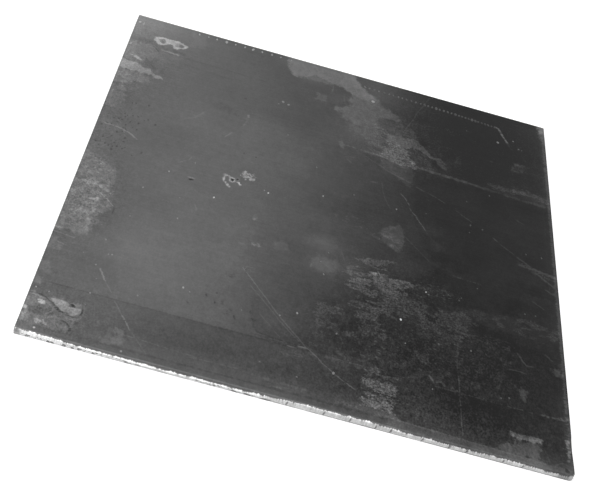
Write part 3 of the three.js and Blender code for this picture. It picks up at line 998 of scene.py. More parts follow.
@dataclass(frozen=True)
class CutSteel:
    """The cut edge: a burnished land over a dark broken line and torn steel."""

    roughness: float = 0.34
    metallic: float = 0.85

    lines: Noise = Noise(1.1, 3.0, 0.7)
    lines_stretch: Triple = (1.0, 1.0, 0.08)
    blotches: Noise = Noise(9.0, 4.0, 0.7)
    fine: Noise = Noise(0.7, 2.0, 0.6)
    spots: Noise = Noise(3.2, 2.0, 0.7)

    # How blotches, lines and the fine grain shift the scale's end and the land's end, mm
    scale_end_stray: tuple[float, float] = (0.3, 0.32)
    scale_end_span: Span = (-0.3, 0.3)
    land_end_stray: tuple[float, float] = (0.1, 0.05)
    land_end_span: Span = (-0.05, 0.05)
    lowest_span: Span = (0.01, 0.1)

    # The dark line: how far below the land it lies, how wide it is and where it breaks off
    tear_line_drop: float = 0.9
    tear_line_span: Span = (0.1, 0.4)
    tear_line_breaks: Span = (-0.6, 0.6)
    tear_line_depth: float = 0.16

    # The painted highlight along the arris over the land, and how lines and blotches mark the land
    arris_highlight_span: Span = (0.3, 1.2)
    arris_highlight_strength: float = 2.4
    land_marks: tuple[float, float] = (0.03, 0.02)

    # The torn steel's shade: its share of the land's, a painted light that is added because it
    # faces a little downwards, and the palest that it gets; and how the fine grain and blotches mark it
    torn_share: float = 0.95
    torn_painted_light: float = 0.14
    torn_palest: float = 0.84
    torn_marks: tuple[float, float] = (0.04, 0.03)

    # Spots of dirt in the torn steel, where the edge is neither scaled nor quite bare
    dirt_span: Span = (0.1, 0.8)
    dirt_from: Span = (0.76, 0.84)
    dirt_until: Span = (0.94, 1.02)
    dirt_depth: float = 0.38

    # Relief of the land and of the torn steel, metres
    line_relief: float = 0.000004
    torn_relief: float = 0.00001

    def over(self, tree: Tree, mm: Wire) -> dict[str, Wire]:
        """Works out the cut edge.

        Args:
            tree: the material's tree.
            mm: the place, in millimetres.

        Returns:
            Its mask, its shade and its height in metres.
        """
        bare_from, above, bareness = tree.carried("edge_place", "Vector").parts()
        lines = self.lines.at(mm * tree.vector(*self.lines_stretch))
        blotch, fine, spots = self.blotches.at(mm), self.fine.at(mm), self.spots.at(mm)
        scale_end = bare_from + blotch * self.scale_end_stray[0] + lines * self.scale_end_stray[1]
        mask = scale_end.rise(*self.scale_end_span) * mm.parts()[2].rise(*self.lowest_span)
        strayed = above + blotch * self.land_end_stray[0] + fine * self.land_end_stray[1]
        land = strayed.rise(*self.land_end_span)
        line = 1.0 - abs(strayed + self.tear_line_drop).rise(*self.tear_line_span)
        broken = line * blotch.rise(*self.tear_line_breaks)
        # painted highlight along the arris, following the rim's painted light and shade
        arris = 1.0 - bare_from.rise(*self.arris_highlight_span)
        dirt = spots.rise(*self.dirt_span) * bareness.rise(*self.dirt_from) * (1.0 - land)
        dirt = dirt * self.dirt_depth * (1.0 - bareness.rise(*self.dirt_until))
        land_shade = bareness + lines * self.land_marks[0] + blotch * self.land_marks[1]
        land_shade = land_shade + arris * tree.carried("rim_light_and_shade", "Fac") * self.arris_highlight_strength
        torn_shade = (bareness * self.torn_share + self.torn_painted_light).at_most(self.torn_palest)
        torn_shade = torn_shade + fine * self.torn_marks[0] + blotch * self.torn_marks[1]
        shade = torn_shade.blend(land_shade, land) - broken * self.tear_line_depth - dirt
        height = lines * self.line_relief * land + fine * self.torn_relief * (1.0 - land)
        return {"mask": mask, "shade": shade.at_most(1.0), "height": height}


@dataclass(frozen=True)
class WeatheredScale:
    """Mill scale with its stains, and bare steel where the guillotine cut it."""

    cut: CutSteel = CutSteel()

    # What the scale's own reflection adds, which the colour leaves out, and the darkest
    # shade and level that are left
    sheen_allowance: float = 0.0188
    darkest_shade: float = 0.02
    darkest_level: float = 0.003

    # Reflection and roughness, and what a stain's lift and the grain add to the roughness
    specular: float = 0.2
    roughness: float = 0.46
    film_roughness: float = 1.0
    grain_roughness: float = 0.012

    rolled: Triple = (0.04, 1.0, 1.0)
    crossed: Triple = (0.55, 1.0, 1.0)
    upright: Triple = (1.0, 0.6, 1.0)

    # Noises of the clean scale, their strengths, and how much they gain where it is coarse
    grain: Noise = Noise(7.0, 4.0, 0.95)
    grain_strength: float = 0.0062
    grain_gain: float = 0.8
    speckle: Noise = Noise(1.6, 1.0, 0.6)
    speckle_strength: float = 0.0045
    speckle_gain: float = 1.5
    drift: Noise = Noise(60.0, 3.0, 0.6)
    drift_strength: float = 0.005
    streak: Noise = Noise(3.0, 3.0, 0.7)
    streak_strength: float = 0.003

    # Frays of the patches' outlines, and how far the outlines blur, in their softnesses
    film_fray: Noise = Noise(7.0, 5.0, 0.75)
    bare_fray: Noise = Noise(4.0, 5.0, 0.75)
    dark_fray: Noise = Noise(6.0, 5.0, 0.75)
    blur: float = 1.0
    crust_blur: float = 0.5

    # How the grain and the speckle show through a stain, a scraped place and a crust
    film_grain: float = 0.05
    bare_grain: float = 0.1
    crust_speckle: float = 0.22

    # Cracks and holes of the crusts, which share the noise of their grains
    cracks: Noise = Noise(4.5, 2.0, 0.6)
    crack_span: Span = (0.05, 0.3)
    crack_depth: float = 0.65
    grains: Noise = Noise(1.9, 2.0, 0.7)
    hole_span: Span = (1.2, 1.6)
    hole_depth: float = 1.1

    # Pale grit: its span where there is none, how far the density lowers it, and its lift
    grit_span: Span = (2.5, 2.9)
    grit_density: float = 1.35
    grit_lift: float = 0.04
    grit_extra_lift: float = 0.05

    # Pits: about how far apart they are, mm, the share of them that is kept, their rims as
    # shares of that pitch, their strengths, and how far both vary from pit to pit
    pit_pitch: float = 4.0
    pit_share: float = 0.5
    pit_share_span: Span = (0.0, 0.12)
    pit_ragged: float = 0.03
    pit_floor: float = 0.04
    pit_rim: float = 0.14
    pit_rim_spread: float = 0.3
    pit_fill: float = 0.5
    pit_fill_spread: float = 0.6
    pit_depth: float = 0.095

    # Scratches: how much of each layer's is skipped, how their line wobbles, where it ends,
    # and how a skip moves the span of the noise that bites, by share and offset
    score_skips: tuple[float, ...] = (0.2, 0.3, 0.75)
    bite: Noise = Noise(7.0, 3.0, 0.7)
    wobble: Noise = Noise(2.4, 1.0)
    wobble_width: float = 0.22
    score_span: Span = (0.3, 1.3)
    bite_low: tuple[float, float] = (2.2, -2.4)
    bite_high: tuple[float, float] = (2.0, -0.9)

    # Relief of the grain, the stains, the pits and the scratches, metres
    grain_relief: float = 0.000001
    film_relief: float = 0.000004
    pit_relief: float = 0.00003
    score_relief: float = 0.0001

    def patch_lift(
        self, tree: Tree, place: Wire, layer: Layer, fray: Noise, blur: float
    ) -> tuple[Wire, Wire]:
        """Where a layer's patches are, and how much they lift the shade.

        Args:
            tree: the material's tree.
            place: the place, in millimetres.
            layer: which layer.
            fray: the frays of the outlines.
            blur: how far the outlines blur, in their softnesses.

        Returns:
            The mask, and the patches' lift where the mask is one.
        """
        depth, lift, ragged = tree.carried(layer.value, "Vector").parts()
        return (depth + fray.at(place) * ragged).rise(-blur, blur), lift

    def score_mask(self, tree: Tree, mm: Wire, layer: Score, skip: float) -> Wire:
        """How much a layer's scratches lift the shade.

        Args:
            tree: the material's tree.
            mm: the place, in millimetres.
            layer: which layer.
            skip: how much of a scratch is skipped, from 0 to 1.

        Returns:
            The lift.
        """
        along, across, lift = tree.carried(layer.value, "Vector").parts()
        bite = self.bite.at(tree.vector(along, 0.0, 0.0))
        line = 1.0 - abs(across + self.wobble.at(mm) * self.wobble_width).rise(*self.score_span)
        low, high = (skip * share + offset for share, offset in (self.bite_low, self.bite_high))
        return line * bite.rise(low, high) * lift

    def pits(self, tree: Tree, place: Wire, pitting: Wire, speckle: Wire) -> Wire:
        """Round pits, one in a cell at most, each of its own size and strength.

        Args:
            tree: the material's tree.
            place: the place, in millimetres.
            pitting: how thickly they lie.
            speckle: what makes their rims ragged.

        Returns:
            Their mask.
        """
        values = {"Vector": place, "Scale": 1.0 / self.pit_pitch}
        cells = tree.node("ShaderNodeTexVoronoi", values, voronoi_dimensions="2D")
        chance = tree.node("ShaderNodeSeparateColor", {"Color": cells["Color"]})
        keep = (pitting * self.pit_share - chance["Red"]).rise(*self.pit_share_span)
        rim = chance["Green"] * self.pit_rim_spread + self.pit_rim
        inside = 1.0 - (cells["Distance"] + speckle * self.pit_ragged).rise(self.pit_floor, rim)
        return inside * (chance["Green"] * self.pit_fill_spread + self.pit_fill) * keep

    def material(self) -> Material:
        """Builds the material.

        Returns:
            The material.
        """
        made, tree = new_material("weathered_scale")
        mm = tree.place() * (1.0 / MM)
        rolled, crossed, upright = (
            mm * tree.vector(*stretch) for stretch in (self.rolled, self.crossed, self.upright)
        )
        grit, pitting, coarse = tree.carried("texture_of_scale", "Vector").parts()

        grain, speckle = self.grain.at(upright), self.speckle.at(upright)
        shade = tree.carried("shade_of_scale", "Fac")
        shade = shade + grain * self.grain_strength * (coarse * self.grain_gain + 1.0)
        shade = shade + speckle * self.speckle_strength * (coarse * self.speckle_gain + 1.0)
        shade = shade + self.drift.at(mm) * self.drift_strength
        shade = shade + self.streak.at(rolled) * self.streak_strength
        # painted light on the rolled front rim and painted shade on the other rims
        shade = shade + tree.carried("rim_light_and_shade", "Fac")

        film, film_lift = self.patch_lift(tree, upright, Layer.FILM, self.film_fray, self.blur)
        crust, crust_lift = self.patch_lift(tree, crossed, Layer.CRUST, self.film_fray, self.crust_blur)
        bare, bare_lift = self.patch_lift(tree, upright, Layer.BARE, self.bare_fray, self.blur)
        dark, dark_lift = self.patch_lift(tree, upright, Layer.SHADE, self.dark_fray, self.blur)
        shade = shade + film * film_lift * (grain * self.film_grain + 1.0) + dark * dark_lift
        crack = 1.0 - abs(self.cracks.at(crossed)).rise(*self.crack_span)
        grains = self.grains.at(crossed)
        hole = (-grains).rise(*self.hole_span)
        crust_lift = crust_lift * (1.0 - crack * self.crack_depth) * (1.0 - hole * self.hole_depth)
        shade = shade + crust * crust_lift * (speckle * self.crust_speckle + 1.0)
        shade = shade + bare * bare_lift * (grain * self.bare_grain + 1.0)

        low, high = (end - grit * self.grit_density for end in self.grit_span)
        shade = shade + grains.rise(low, high) * (grit * self.grit_extra_lift + self.grit_lift)
        pit = self.pits(tree, upright, pitting, speckle)
        layers = zip(Score, self.score_skips)
        scores = sum(self.score_mask(tree, mm, layer, skip) for layer, skip in layers)
        shade = shade - pit * self.pit_depth + scores

        cut = self.cut.over(tree, mm)
        shade = shade.blend(cut["shade"], cut["mask"]).at_least(self.darkest_shade)
        sheen = (1.0 - cut["mask"]) * self.sheen_allowance
        level = (shade**DISPLAY_GAMMA - sheen).at_least(self.darkest_level)
        roughness = self.roughness + film * film_lift * self.film_roughness + grain * self.grain_roughness
        roughness = roughness.blend(self.cut.roughness, cut["mask"])
        height = grain * self.grain_relief - pit * self.pit_relief - scores * self.score_relief
        height = (height + film * self.film_relief).blend(cut["height"], cut["mask"])
        bump = tree.node("ShaderNodeBump", {"Strength": 1.0, "Distance": 1.0, "Height": height})
        values = {
            "Base Color": grey(tree, level),
            "Metallic": cut["mask"] * self.cut.metallic,
            "Roughness": roughness,
            "Normal": bump["Normal"],
            "Specular IOR Level": self.specular,
        }
        principled(tree, values)
        return made


@dataclass(frozen=True)
class BrightSpeck:
    """Small bright chips and specks, each of its own shade.

    Attributes:
        roughness: their roughness.
        metallic: how metallic they are.
        frost: noise of the shade over one speck.
        frost_strength: its strength.
        darkest_shade: the darkest that they get.
    """

    roughness: float = 0.5
    metallic: float = 0.2
    frost: Noise = Noise(1.0)
    frost_strength: float = 0.01
    darkest_shade: float = 0.05

    def material(self) -> Material:
        """Builds the material.

        Returns:
            The material.
        """
        made, tree = new_material("bright_speck")
        frost = self.frost.at(tree.place() * (1.0 / MM)) * self.frost_strength
        shade = (tree.carried("speck_shade", "Fac") + frost).at_least(self.darkest_shade)
        colour = grey(tree, shade**DISPLAY_GAMMA)
        principled(tree, {"Base Color": colour, "Metallic": self.metallic, "Roughness": self.roughness})
        return made


# ---------------------------------------------------------------- the plate


@dataclass(frozen=True)
class ShearedSection:
    """The sheared edge, from the top face down, with the same sizes as the solid's, mm."""

    rollover_width: float = 1.6
    rollover_depth: float = 0.6
    rollover_steps: int = 6
    land_rows: int = 3
    break_step_depth: float = 0.12
    break_step_height: float = 0.15
    fracture_setback: float = 0.4
    fracture_rows: int = 2
    burr_throw: float = 0.16
    burr_height: float = 0.3
    break_wave_height: float = 0.22
    break_wave_length: float = 87.0
    break_ripple_height: float = 0.1
    break_ripple_length: float = 31.0

    def wander(self, along: np.ndarray) -> np.ndarray:
        """How far the break line strays from its straight run."""
        wave = self.break_wave_height * np.sin(2 * np.pi * along / self.break_wave_length)
        ripple = self.break_ripple_height * np.sin(2 * np.pi * along / self.break_ripple_length)
        return wave + ripple


@dataclass
class Stations:
    """The places round the plate where the edge's section stands, anticlockwise.

    Attributes:
        rim: the outer outline, mm.
        slide: how a point moves for each mm of inset.
        along: distance round the plate, mm.
        land: height of the land, mm.
        side: which side each is on; a corner belongs to the side after it.
        starts: the first station of each side, at the start of its corner.
        straights: the station of each side where its corner ends.
        girth: distance all the way round, mm.
    """

    rim: np.ndarray
    slide: np.ndarray
    along: np.ndarray
    land: np.ndarray
    side: np.ndarray
    starts: list[int]
    straights: list[int]
    girth: float


@dataclass
class ShearedPlate:
    """The plate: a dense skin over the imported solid.

    Attributes:
        width: size along X, mm.
        length: size along Y, mm.
        thickness: size along Z, mm.
        section: the sheared edge.
        wear: what is laid out on the top face.
        faces: its faces by their points' numbers, which build() fills in.
        spots: where the corners of those faces lie on the map for baking.
    """

    width: float
    length: float
    thickness: float
    section: ShearedSection = ShearedSection()
    wear: TopFaceWear = field(default_factory=TopFaceWear)
    faces: list[tuple[int, ...]] = field(default_factory=list)
    spots: list[Point] = field(default_factory=list)

    # Corners from the front right one, anticlockwise: the sides that they are on, radii, and
    # heights of the land there
    corner_signs: tuple[tuple[int, int], ...] = ((1, -1), (1, 1), (-1, 1), (-1, -1))
    corner_radii: tuple[float, ...] = (4.0, 0.8, 0.8, 0.8)
    corner_lands: tuple[float, ...] = (4.3, 3.2, 2.6, 3.0)
    corner_steps: int = 8

    # Cells of the two faces, and how many stations of each side share one cell
    top_columns: int = 210
    top_rows: int = 280
    top_shares: tuple[int, int, int, int] = (1, 1, 1, 3)
    under_columns: int = 21
    under_rows: int = 28
    top_inset: float = 2.5
    under_inset: float = 3.0
    skin_drop: float = 0.04

    # Grooves drawn by chips in the blade, by distance from the right end of the front edge
    blade_nick_places: tuple[float, ...] = (41, 57, 87, 101, 123, 149, 161, 182, 203, 233)
    blade_nick_width: float = 1.8
    blade_nick_depth: float = 0.55
    blade_nick_lean: float = 12.0

    # The filed hollow of the right edge and the nick at its far end
    hollow_start: float = 12.0
    hollow_length: float = 42.0
    hollow_depth: float = 0.8
    rim_nick_width: float = 2.4
    rim_nick_depth: float = 1.1

    # Along the front edge, by place, and then on the right, the back and the left: how far
    # down the section the scale reaches, the painted light of the rolled rim in front and its
    # painted shade on the other sides, and how bare the steel under it is. The right edge is
    # barer near the front, and a nick gets painted shade, which is less higher up.
    front_scale_ends: Path = (
        (-225, 1.5), (-190, 2.3), (-165, 3.65), (-140, 3.3), (-115, 3.55), (-90, 3.7), (-65, 3.95),
        (-40, 3.2), (-15, 2.2), (5, 1.7), (20, 1.9), (40, 1.8), (62, 1.5), (85, 2.75), (110, 2.9),
        (135, 2.85), (155, 2.3), (185, 3.05), (205, 3.5), (225, 2.9),
    )
    scale_ends: Triple = (1.9, 2.5, 2.5)
    front_rim_painted_light: Path = (
        (-225, 0.08), (-30, 0.07), (10, 0.1), (35, 0.08), (65, 0.1), (95, 0.05), (170, 0.04), (205, 0.0),
    )
    front_bareness: Path = (
        (-225, 0.5), (-221, 0.56), (-218.5, 0.9), (-190, 0.81), (-165, 0.92), (-115, 1.0), (-90, 1.0),
        (-65, 0.93), (-40, 0.93), (-15, 0.76), (12, 0.7), (210, 0.7), (213, 0.54), (220.5, 0.52),
        (222.5, 0.66), (225, 0.72),
    )
    other_bareness: Triple = (0.34, 0.5, 0.5)
    corner_bareness: float = 0.26
    corner_span: Span = (-292.0, -262.0)
    side_rim_painted_shade: Triple = (-0.02, -0.04, -0.04)
    nick_painted_shade: float = 0.45
    nick_fade: float = 0.7
    nick_fade_span: Span = (2.8, 4.2)

    # What the two faces get in place of a height over the break line and of a bareness
    face_above: float = 10.0
    face_bareness: float = 0.5

    # Map for baking: the top face on the left, the four edges and the underside beside it
    map_margin: float = 0.008
    map_top_width: float = 0.715
    map_edge_widths: tuple[float, ...] = (0.026, 0.022, 0.022, 0.036)
    map_gap: float = 0.006

    def side_steps(self) -> tuple[int, ...]:
        """Stations along the right, back, left and front sides."""
        cells = (self.top_rows, self.top_columns, self.top_rows, self.top_columns)
        return tuple(c * s for c, s in zip(cells, self.top_shares))

    def corner_point(self, index: int, turned: float) -> tuple[np.ndarray, np.ndarray]:
        """A point on a corner's arc.

        Args:
            index: which corner.
            turned: how far round it, from 0 to 1.

        Returns:
            The point on the rim, and how it moves for each mm of inset.
        """
        radius, signs = self.corner_radii[index], np.array(self.corner_signs[index])
        angle = (index - 1 + turned) * math.pi / 2
        way = np.array((math.cos(angle), math.sin(angle)))
        half = np.array((self.width / 2, self.length / 2))
        return signs * (half - radius) + radius * way, way - 2.0 * signs

    def stations(self) -> Stations:
        """Sets out the stations, corner by corner.

        Returns:
            The stations.
        """
        rim, slide, along, land, side = [], [], [], [], []
        starts, straights = [], []
        run = 0.0
        following_lands = self.corner_lands[1:] + self.corner_lands[:1]
        corners = zip(self.corner_radii, self.corner_lands, following_lands)
        for index, (radius, height, following) in enumerate(corners):
            starts.append(len(rim))
            for step in range(self.corner_steps + 1):
                turned = step / self.corner_steps
                point, way = self.corner_point(index, turned)
                rim.append(point)
                slide.append(way)
                along.append(run + turned * radius * math.pi / 2)
                land.append(height)
            run += radius * math.pi / 2
            straights.append(len(rim) - 1)
            near, near_way = self.corner_point(index, 1)
            far, far_way = self.corner_point((index + 1) % len(self.corner_radii), 0)
            stretch = float(np.hypot(*(far - near)))
            steps = self.side_steps()[index]
            for step in range(1, steps):
                share = step / steps
                rim.append(near + (far - near) * share)
                slide.append(near_way + (far_way - near_way) * share)
                along.append(run + share * stretch)
                land.append(height + (following - height) * share)
            run += stretch
            side += [index] * (len(rim) - len(side))
        arrays = (np.array(a) for a in (rim, slide, along, land, side))
        return Stations(*arrays, starts, straights, run)

    def cut_depth(self, stations: Stations, height: np.ndarray) -> np.ndarray:
        """How deep nicks and the filed hollow cut into the rim.

        Args:
            stations: the stations.
            height: the height of each station's point, mm.

        Returns:
            The depths, mm.
        """
        x, y = stations.rim.T
        depth = np.zeros(len(x))
        front = stations.side == 3
        lean = (height - self.thickness / 2) * math.tan(math.radians(self.blade_nick_lean))
        for place in self.blade_nick_places:
            off = np.abs(x - (self.width / 2 - place) - lean) / (self.blade_nick_width / 2)
            depth = np.maximum(depth, front * self.blade_nick_depth * (1.0 - off))
        right = stations.side == 0
        half = self.hollow_length / 2
        radius = (half**2 + self.hollow_depth**2) / (2 * self.hollow_depth)
        off = np.clip(y + self.length / 2 - self.hollow_start - half, -half, half)
        hollow = np.sqrt(radius**2 - off**2) - (radius - self.hollow_depth)
        depth = np.maximum(depth, right * hollow)
        end = y + self.length / 2 - self.hollow_start - self.hollow_length
        nick = self.rim_nick_depth * (1.0 - np.abs(end) / (self.rim_nick_width / 2))
        return np.maximum(depth, right * nick)

    def section_rows(self, stations: Stations) -> list[tuple[float, np.ndarray, float]]:
        """The rows of the edge, from the top face down.

        Args:
            stations: the stations.

        Returns:
            For each row its inset, its heights, and the distance down the section.
        """
        s, top = self.section, self.thickness
        flat = np.ones(len(stations.along))
        line = top - s.rollover_depth - stations.land - s.wander(stations.along)
        rows: list[tuple[float, np.ndarray]] = [(self.top_inset, (top - self.skin_drop) * flat)]
        for step in range(s.rollover_steps + 1):
            angle = step / s.rollover_steps * math.pi / 2
            inset = s.rollover_width * (1 - math.sin(angle))
            drop = s.rollover_depth * (1 - math.cos(angle))
            rows.append((inset, (top - max(self.skin_drop, drop)) * flat))
        start = rows[-1][1]
        for step in range(1, s.land_rows + 2):
            rows.append((0.0, start + (line - start) * step / (s.land_rows + 1)))
        start = line - s.break_step_height
        rows.append((s.break_step_depth, start))
        for step in range(1, s.fracture_rows + 2):
            share = step / (s.fracture_rows + 1)
            inset = s.break_step_depth + (s.fracture_setback - s.break_step_depth) * share
            rows.append((inset, start + (s.burr_height - start) * share))
        rows.append((s.fracture_setback - s.burr_throw, 0.0 * flat))
        rows.append((self.under_inset, 0.0 * flat))
        down, made = s.rollover_width - self.top_inset, []
        for index, (inset, heights) in enumerate(rows):
            if index:
                before = rows[index - 1]
                down += math.hypot(inset - before[0], float(np.mean(heights - before[1])))
            made.append((inset, heights, down))
        return made

    def edge_skin(
        self, stations: Stations, rows: list[tuple[float, np.ndarray, float]]
    ) -> dict[str, list[np.ndarray]]:
        """Points and attributes of the sheared edge.

        Args:
            stations: the stations.
            rows: the rows of the section.

        Returns:
            The points, mm, and each attribute by name, as one array for each row.
        """
        scale_end = self.by_side(stations, self.front_scale_ends, self.scale_ends)
        bareness = self.by_side(stations, self.front_bareness, self.other_bareness)
        near_front = 1.0 - ease(stations.rim[:, 1], *self.corner_span)
        bareness = bareness + (stations.side == 0) * near_front * self.corner_bareness
        # the rolled rim: painted light in front and painted shade on the other sides
        tone = self.by_side(stations, self.front_rim_painted_light, self.side_rim_painted_shade)
        line = self.thickness - self.section.rollover_depth - stations.land
        line = line - self.section.wander(stations.along)
        ways = stations.slide / np.hypot(*stations.slide.T)[:, None]
        skin: dict[str, list[np.ndarray]] = {"points": [], "edge_place": [], "inward": [], "rim_light_and_shade": []}
        for inset, heights, down in rows:
            cut = self.cut_depth(stations, heights)
            # painted shade in the nicks, less of it higher up
            nicked = (stations.side == 3) * cut / self.blade_nick_depth
            nicked = nicked * (1.0 - self.nick_fade * ease(heights, *self.nick_fade_span))
            shade = bareness - self.nick_painted_shade * np.maximum(nicked, 0.0)
            free = 0.0 if down <= 0.0 or heights.max() <= 0.0 else 1.0
            place = stations.rim + np.maximum(inset, cut)[:, None] * stations.slide
            skin["points"].append(np.column_stack((place, heights)))
            skin["edge_place"].append(np.column_stack((down - scale_end, heights - line, shade)))
            skin["inward"].append(np.column_stack((ways * free, 0.0 * cut)))
            rolled = min(max(down / self.section.rollover_depth, 0.0), 1.0)
            skin["rim_light_and_shade"].append(tone * rolled * (heights > 0.0))
        return skin

    def build(self, finish: Material) -> Object:
        """Builds the plate with its attributes and its map for baking.

        Args:
            finish: its material.

        Returns:
            The object, before the edge's relief.
        """
        stations = self.stations()
        rows = self.section_rows(stations)
        skin = self.edge_skin(stations, rows)
        self.edge_faces(stations, [down for _, _, down in rows])
        count = len(stations.along)
        total = len(rows) * count
        for top, ring in ((True, 0), (False, len(rows) - 1)):
            grid, columns = self.field_points(top)
            self.field_faces(stations, top, (ring * count, total), columns, grid, skin["points"][ring])
            total += len(grid)
            x, y = grid[:, 0], grid[:, 1]
            from_rim = np.minimum(self.width / 2 - np.abs(x), self.length / 2 - np.abs(y))
            above = np.full(len(x), self.face_above if top else -self.face_above)
            bareness = np.full(len(x), self.face_bareness)
            skin["points"].append(grid)
            skin["edge_place"].append(np.column_stack((-from_rim, above, bareness)))
            skin["inward"].append(np.zeros((len(x), 3)))
            skin["rim_light_and_shade"].append(np.zeros(len(x)))
        joined = {name: np.concatenate(parts) for name, parts in skin.items()}
        place = joined.pop("points")
        attributes = self.wear.attributes(place[:, 0], place[:, 1]) | joined
        return self.make_object(place * MM, attributes, finish)

    def by_side(self, stations: Stations, front: Path, others: tuple[float, ...]) -> np.ndarray:
        """Something that changes along the front edge and is even along the other sides.

        Args:
            stations: the stations.
            front: its value by place along the front edge, mm.
            others: its values on the right, the back and the left.

        Returns:
            Its value at each station.
        """
        places, values = zip(*front)
        along_front = np.interp(stations.rim[:, 0], places, values)
        return np.where(stations.side == 3, along_front, np.array((*others, 0.0))[stations.side])

    def field_points(self, top: bool) -> tuple[np.ndarray, int]:
        """Grid of the top face or the underside, inside the edge's last row.

        Args:
            top: which face.

        Returns:
            Its points, mm, row by row from the front, and the points in a row.
        """
        columns = self.top_columns if top else self.under_columns
        rows = self.top_rows if top else self.under_rows
        inset = self.top_inset if top else self.under_inset
        reach = np.array(self.corner_radii)[:, None] + 2.0 * inset
        ends = np.array(self.corner_signs) * (np.array((self.width / 2, self.length / 2)) - reach)
        front_right, back_right, back_left, front_left = ends
        u, v = np.meshgrid(np.linspace(0, 1, columns + 1), np.linspace(0, 1, rows + 1))
        u, v = u.reshape(-1, 1), v.reshape(-1, 1)
        front = front_left + (front_right - front_left) * u
        back = back_left + (back_right - back_left) * u
        height = self.thickness - self.skin_drop if top else 0.0
        place = front + (back - front) * v
        return np.column_stack((place, np.full(len(place), height))), columns + 1

    def field_faces(
        self,
        stations: Stations,
        top: bool,
        bases: tuple[int, int],
        row: int,
        grid: np.ndarray,
        edge: np.ndarray,
    ) -> None:
        """Faces of the top face or the underside, with the strip that joins its edge.

        Args:
            stations: the stations.
            top: which face.
            bases: numbers of the first points of the edge's row and of the grid.
            row: points in a row of the grid.
            grid: the grid's points, mm.
            edge: the points of the edge's row, mm.
        """
        (ring, base), lines = bases, len(grid) // row
        count = len(stations.along)
        inner = {
            0: [j * row + row - 1 for j in range(lines)],
            1: [(lines - 1) * row + i for i in range(row - 1, -1, -1)],
            2: [j * row for j in range(lines - 1, -1, -1)],
            3: list(range(row)),
        }

        def add(grid_part: list[int], ring_part: list[int]) -> None:
            """Adds a face, anticlockwise from above.

            Args:
                grid_part: its points of the grid, which come last.
                ring_part: its points of the edge's row.
            """
            face = [ring + k for k in ring_part] + [base + g for g in grid_part]
            corners = [edge[k] for k in ring_part] + [grid[g] for g in grid_part]
            spots = [self.face_place(corner, top) for corner in corners]
            if not top:
                face.reverse()
                spots.reverse()
            self.faces.append(tuple(face))
            self.spots.extend(spots)

        for j in range(lines - 1):
            for i in range(row - 1):
                g = j * row + i
                add([g, g + 1, g + row + 1, g + row], [])
        for side, cells in inner.items():
            share = self.side_steps()[side] // (len(cells) - 1)
            start = stations.straights[side]
            for cell in range(len(cells) - 1):
                ring_part = [(start + cell * share + k) % count for k in range(share + 1)]
                add([cells[cell + 1], cells[cell]], ring_part)
            for k in range(stations.starts[side], start):
                add([cells[0]], [k, k + 1])

    def face_place(self, point: np.ndarray, top: bool) -> Point:
        """Where a point of the top face or the underside lies on the map.

        Args:
            point: the point, mm.
            top: which face it is on.

        Returns:
            Its place on the map, from 0 to 1 both ways.
        """
        left, width = self.map_margin, self.map_top_width - self.map_margin
        if not top:
            gaps = self.map_gap * (len(self.map_edge_widths) + 1)
            left = self.map_top_width + sum(self.map_edge_widths) + gaps
            width = 1.0 - self.map_margin - left
        share_x, share_y = point[0] / self.width + 0.5, point[1] / self.length + 0.5
        return left + share_x * width, self.map_margin + share_y * (1.0 - 2.0 * self.map_margin)

    def edge_faces(self, stations: Stations, downs: list[float]) -> None:
        """Faces of the sheared edge.

        Args:
            stations: the stations.
            downs: distance down the section of each row, mm.
        """
        count = len(stations.along)
        ends = [stations.along[s] for s in stations.starts[1:]] + [stations.girth]
        longest = max(e - stations.along[s] for s, e in zip(stations.starts, ends))
        reach = downs[-1] - downs[0]
        for k in range(count):
            side = int(stations.side[k])
            left = self.map_top_width + self.map_gap * (side + 1) + sum(self.map_edge_widths[:side])
            width = self.map_edge_widths[side]
            start = stations.along[stations.starts[side]]
            step = ends[side] if k + 1 == count or stations.side[k + 1] != side else stations.along[k + 1]
            tall = (1.0 - 2.0 * self.map_margin) / longest
            low = self.map_margin + (stations.along[k] - start) * tall
            high = self.map_margin + (step - start) * tall
            following = (k + 1) % count
            for row in range(len(downs) - 1):
                a = left + width * (downs[row] - downs[0]) / reach
                b = left + width * (downs[row + 1] - downs[0]) / reach
                upper, lower = row * count, (row + 1) * count
                self.faces.append((upper + k, lower + k, lower + following, upper + following))
                self.spots.extend(((a, low), (b, low), (b, high), (a, high)))

    def make_object(
        self, place: np.ndarray, attributes: dict[str, np.ndarray], finish: Material
    ) -> Object:
        """Makes the object from its points and faces.

        Args:
            place: the points, metres.
            attributes: the attributes by name.
            finish: the material.

        Returns:
            The object.
        """
        mesh = bpy.data.meshes.new("plate")
        mesh.from_pydata(place.tolist(), [], self.faces)
        spots = np.array(self.spots, np.float32)
        mesh.uv_layers.new(name="OFBake").data.foreach_set("uv", spots.ravel())
        write_attributes(mesh, attributes)
        mesh.materials.append(finish)
        smooth(mesh)
        return add_object("plate", mesh)


# ---------------------------------------------------------------- relief and chips, by nodes


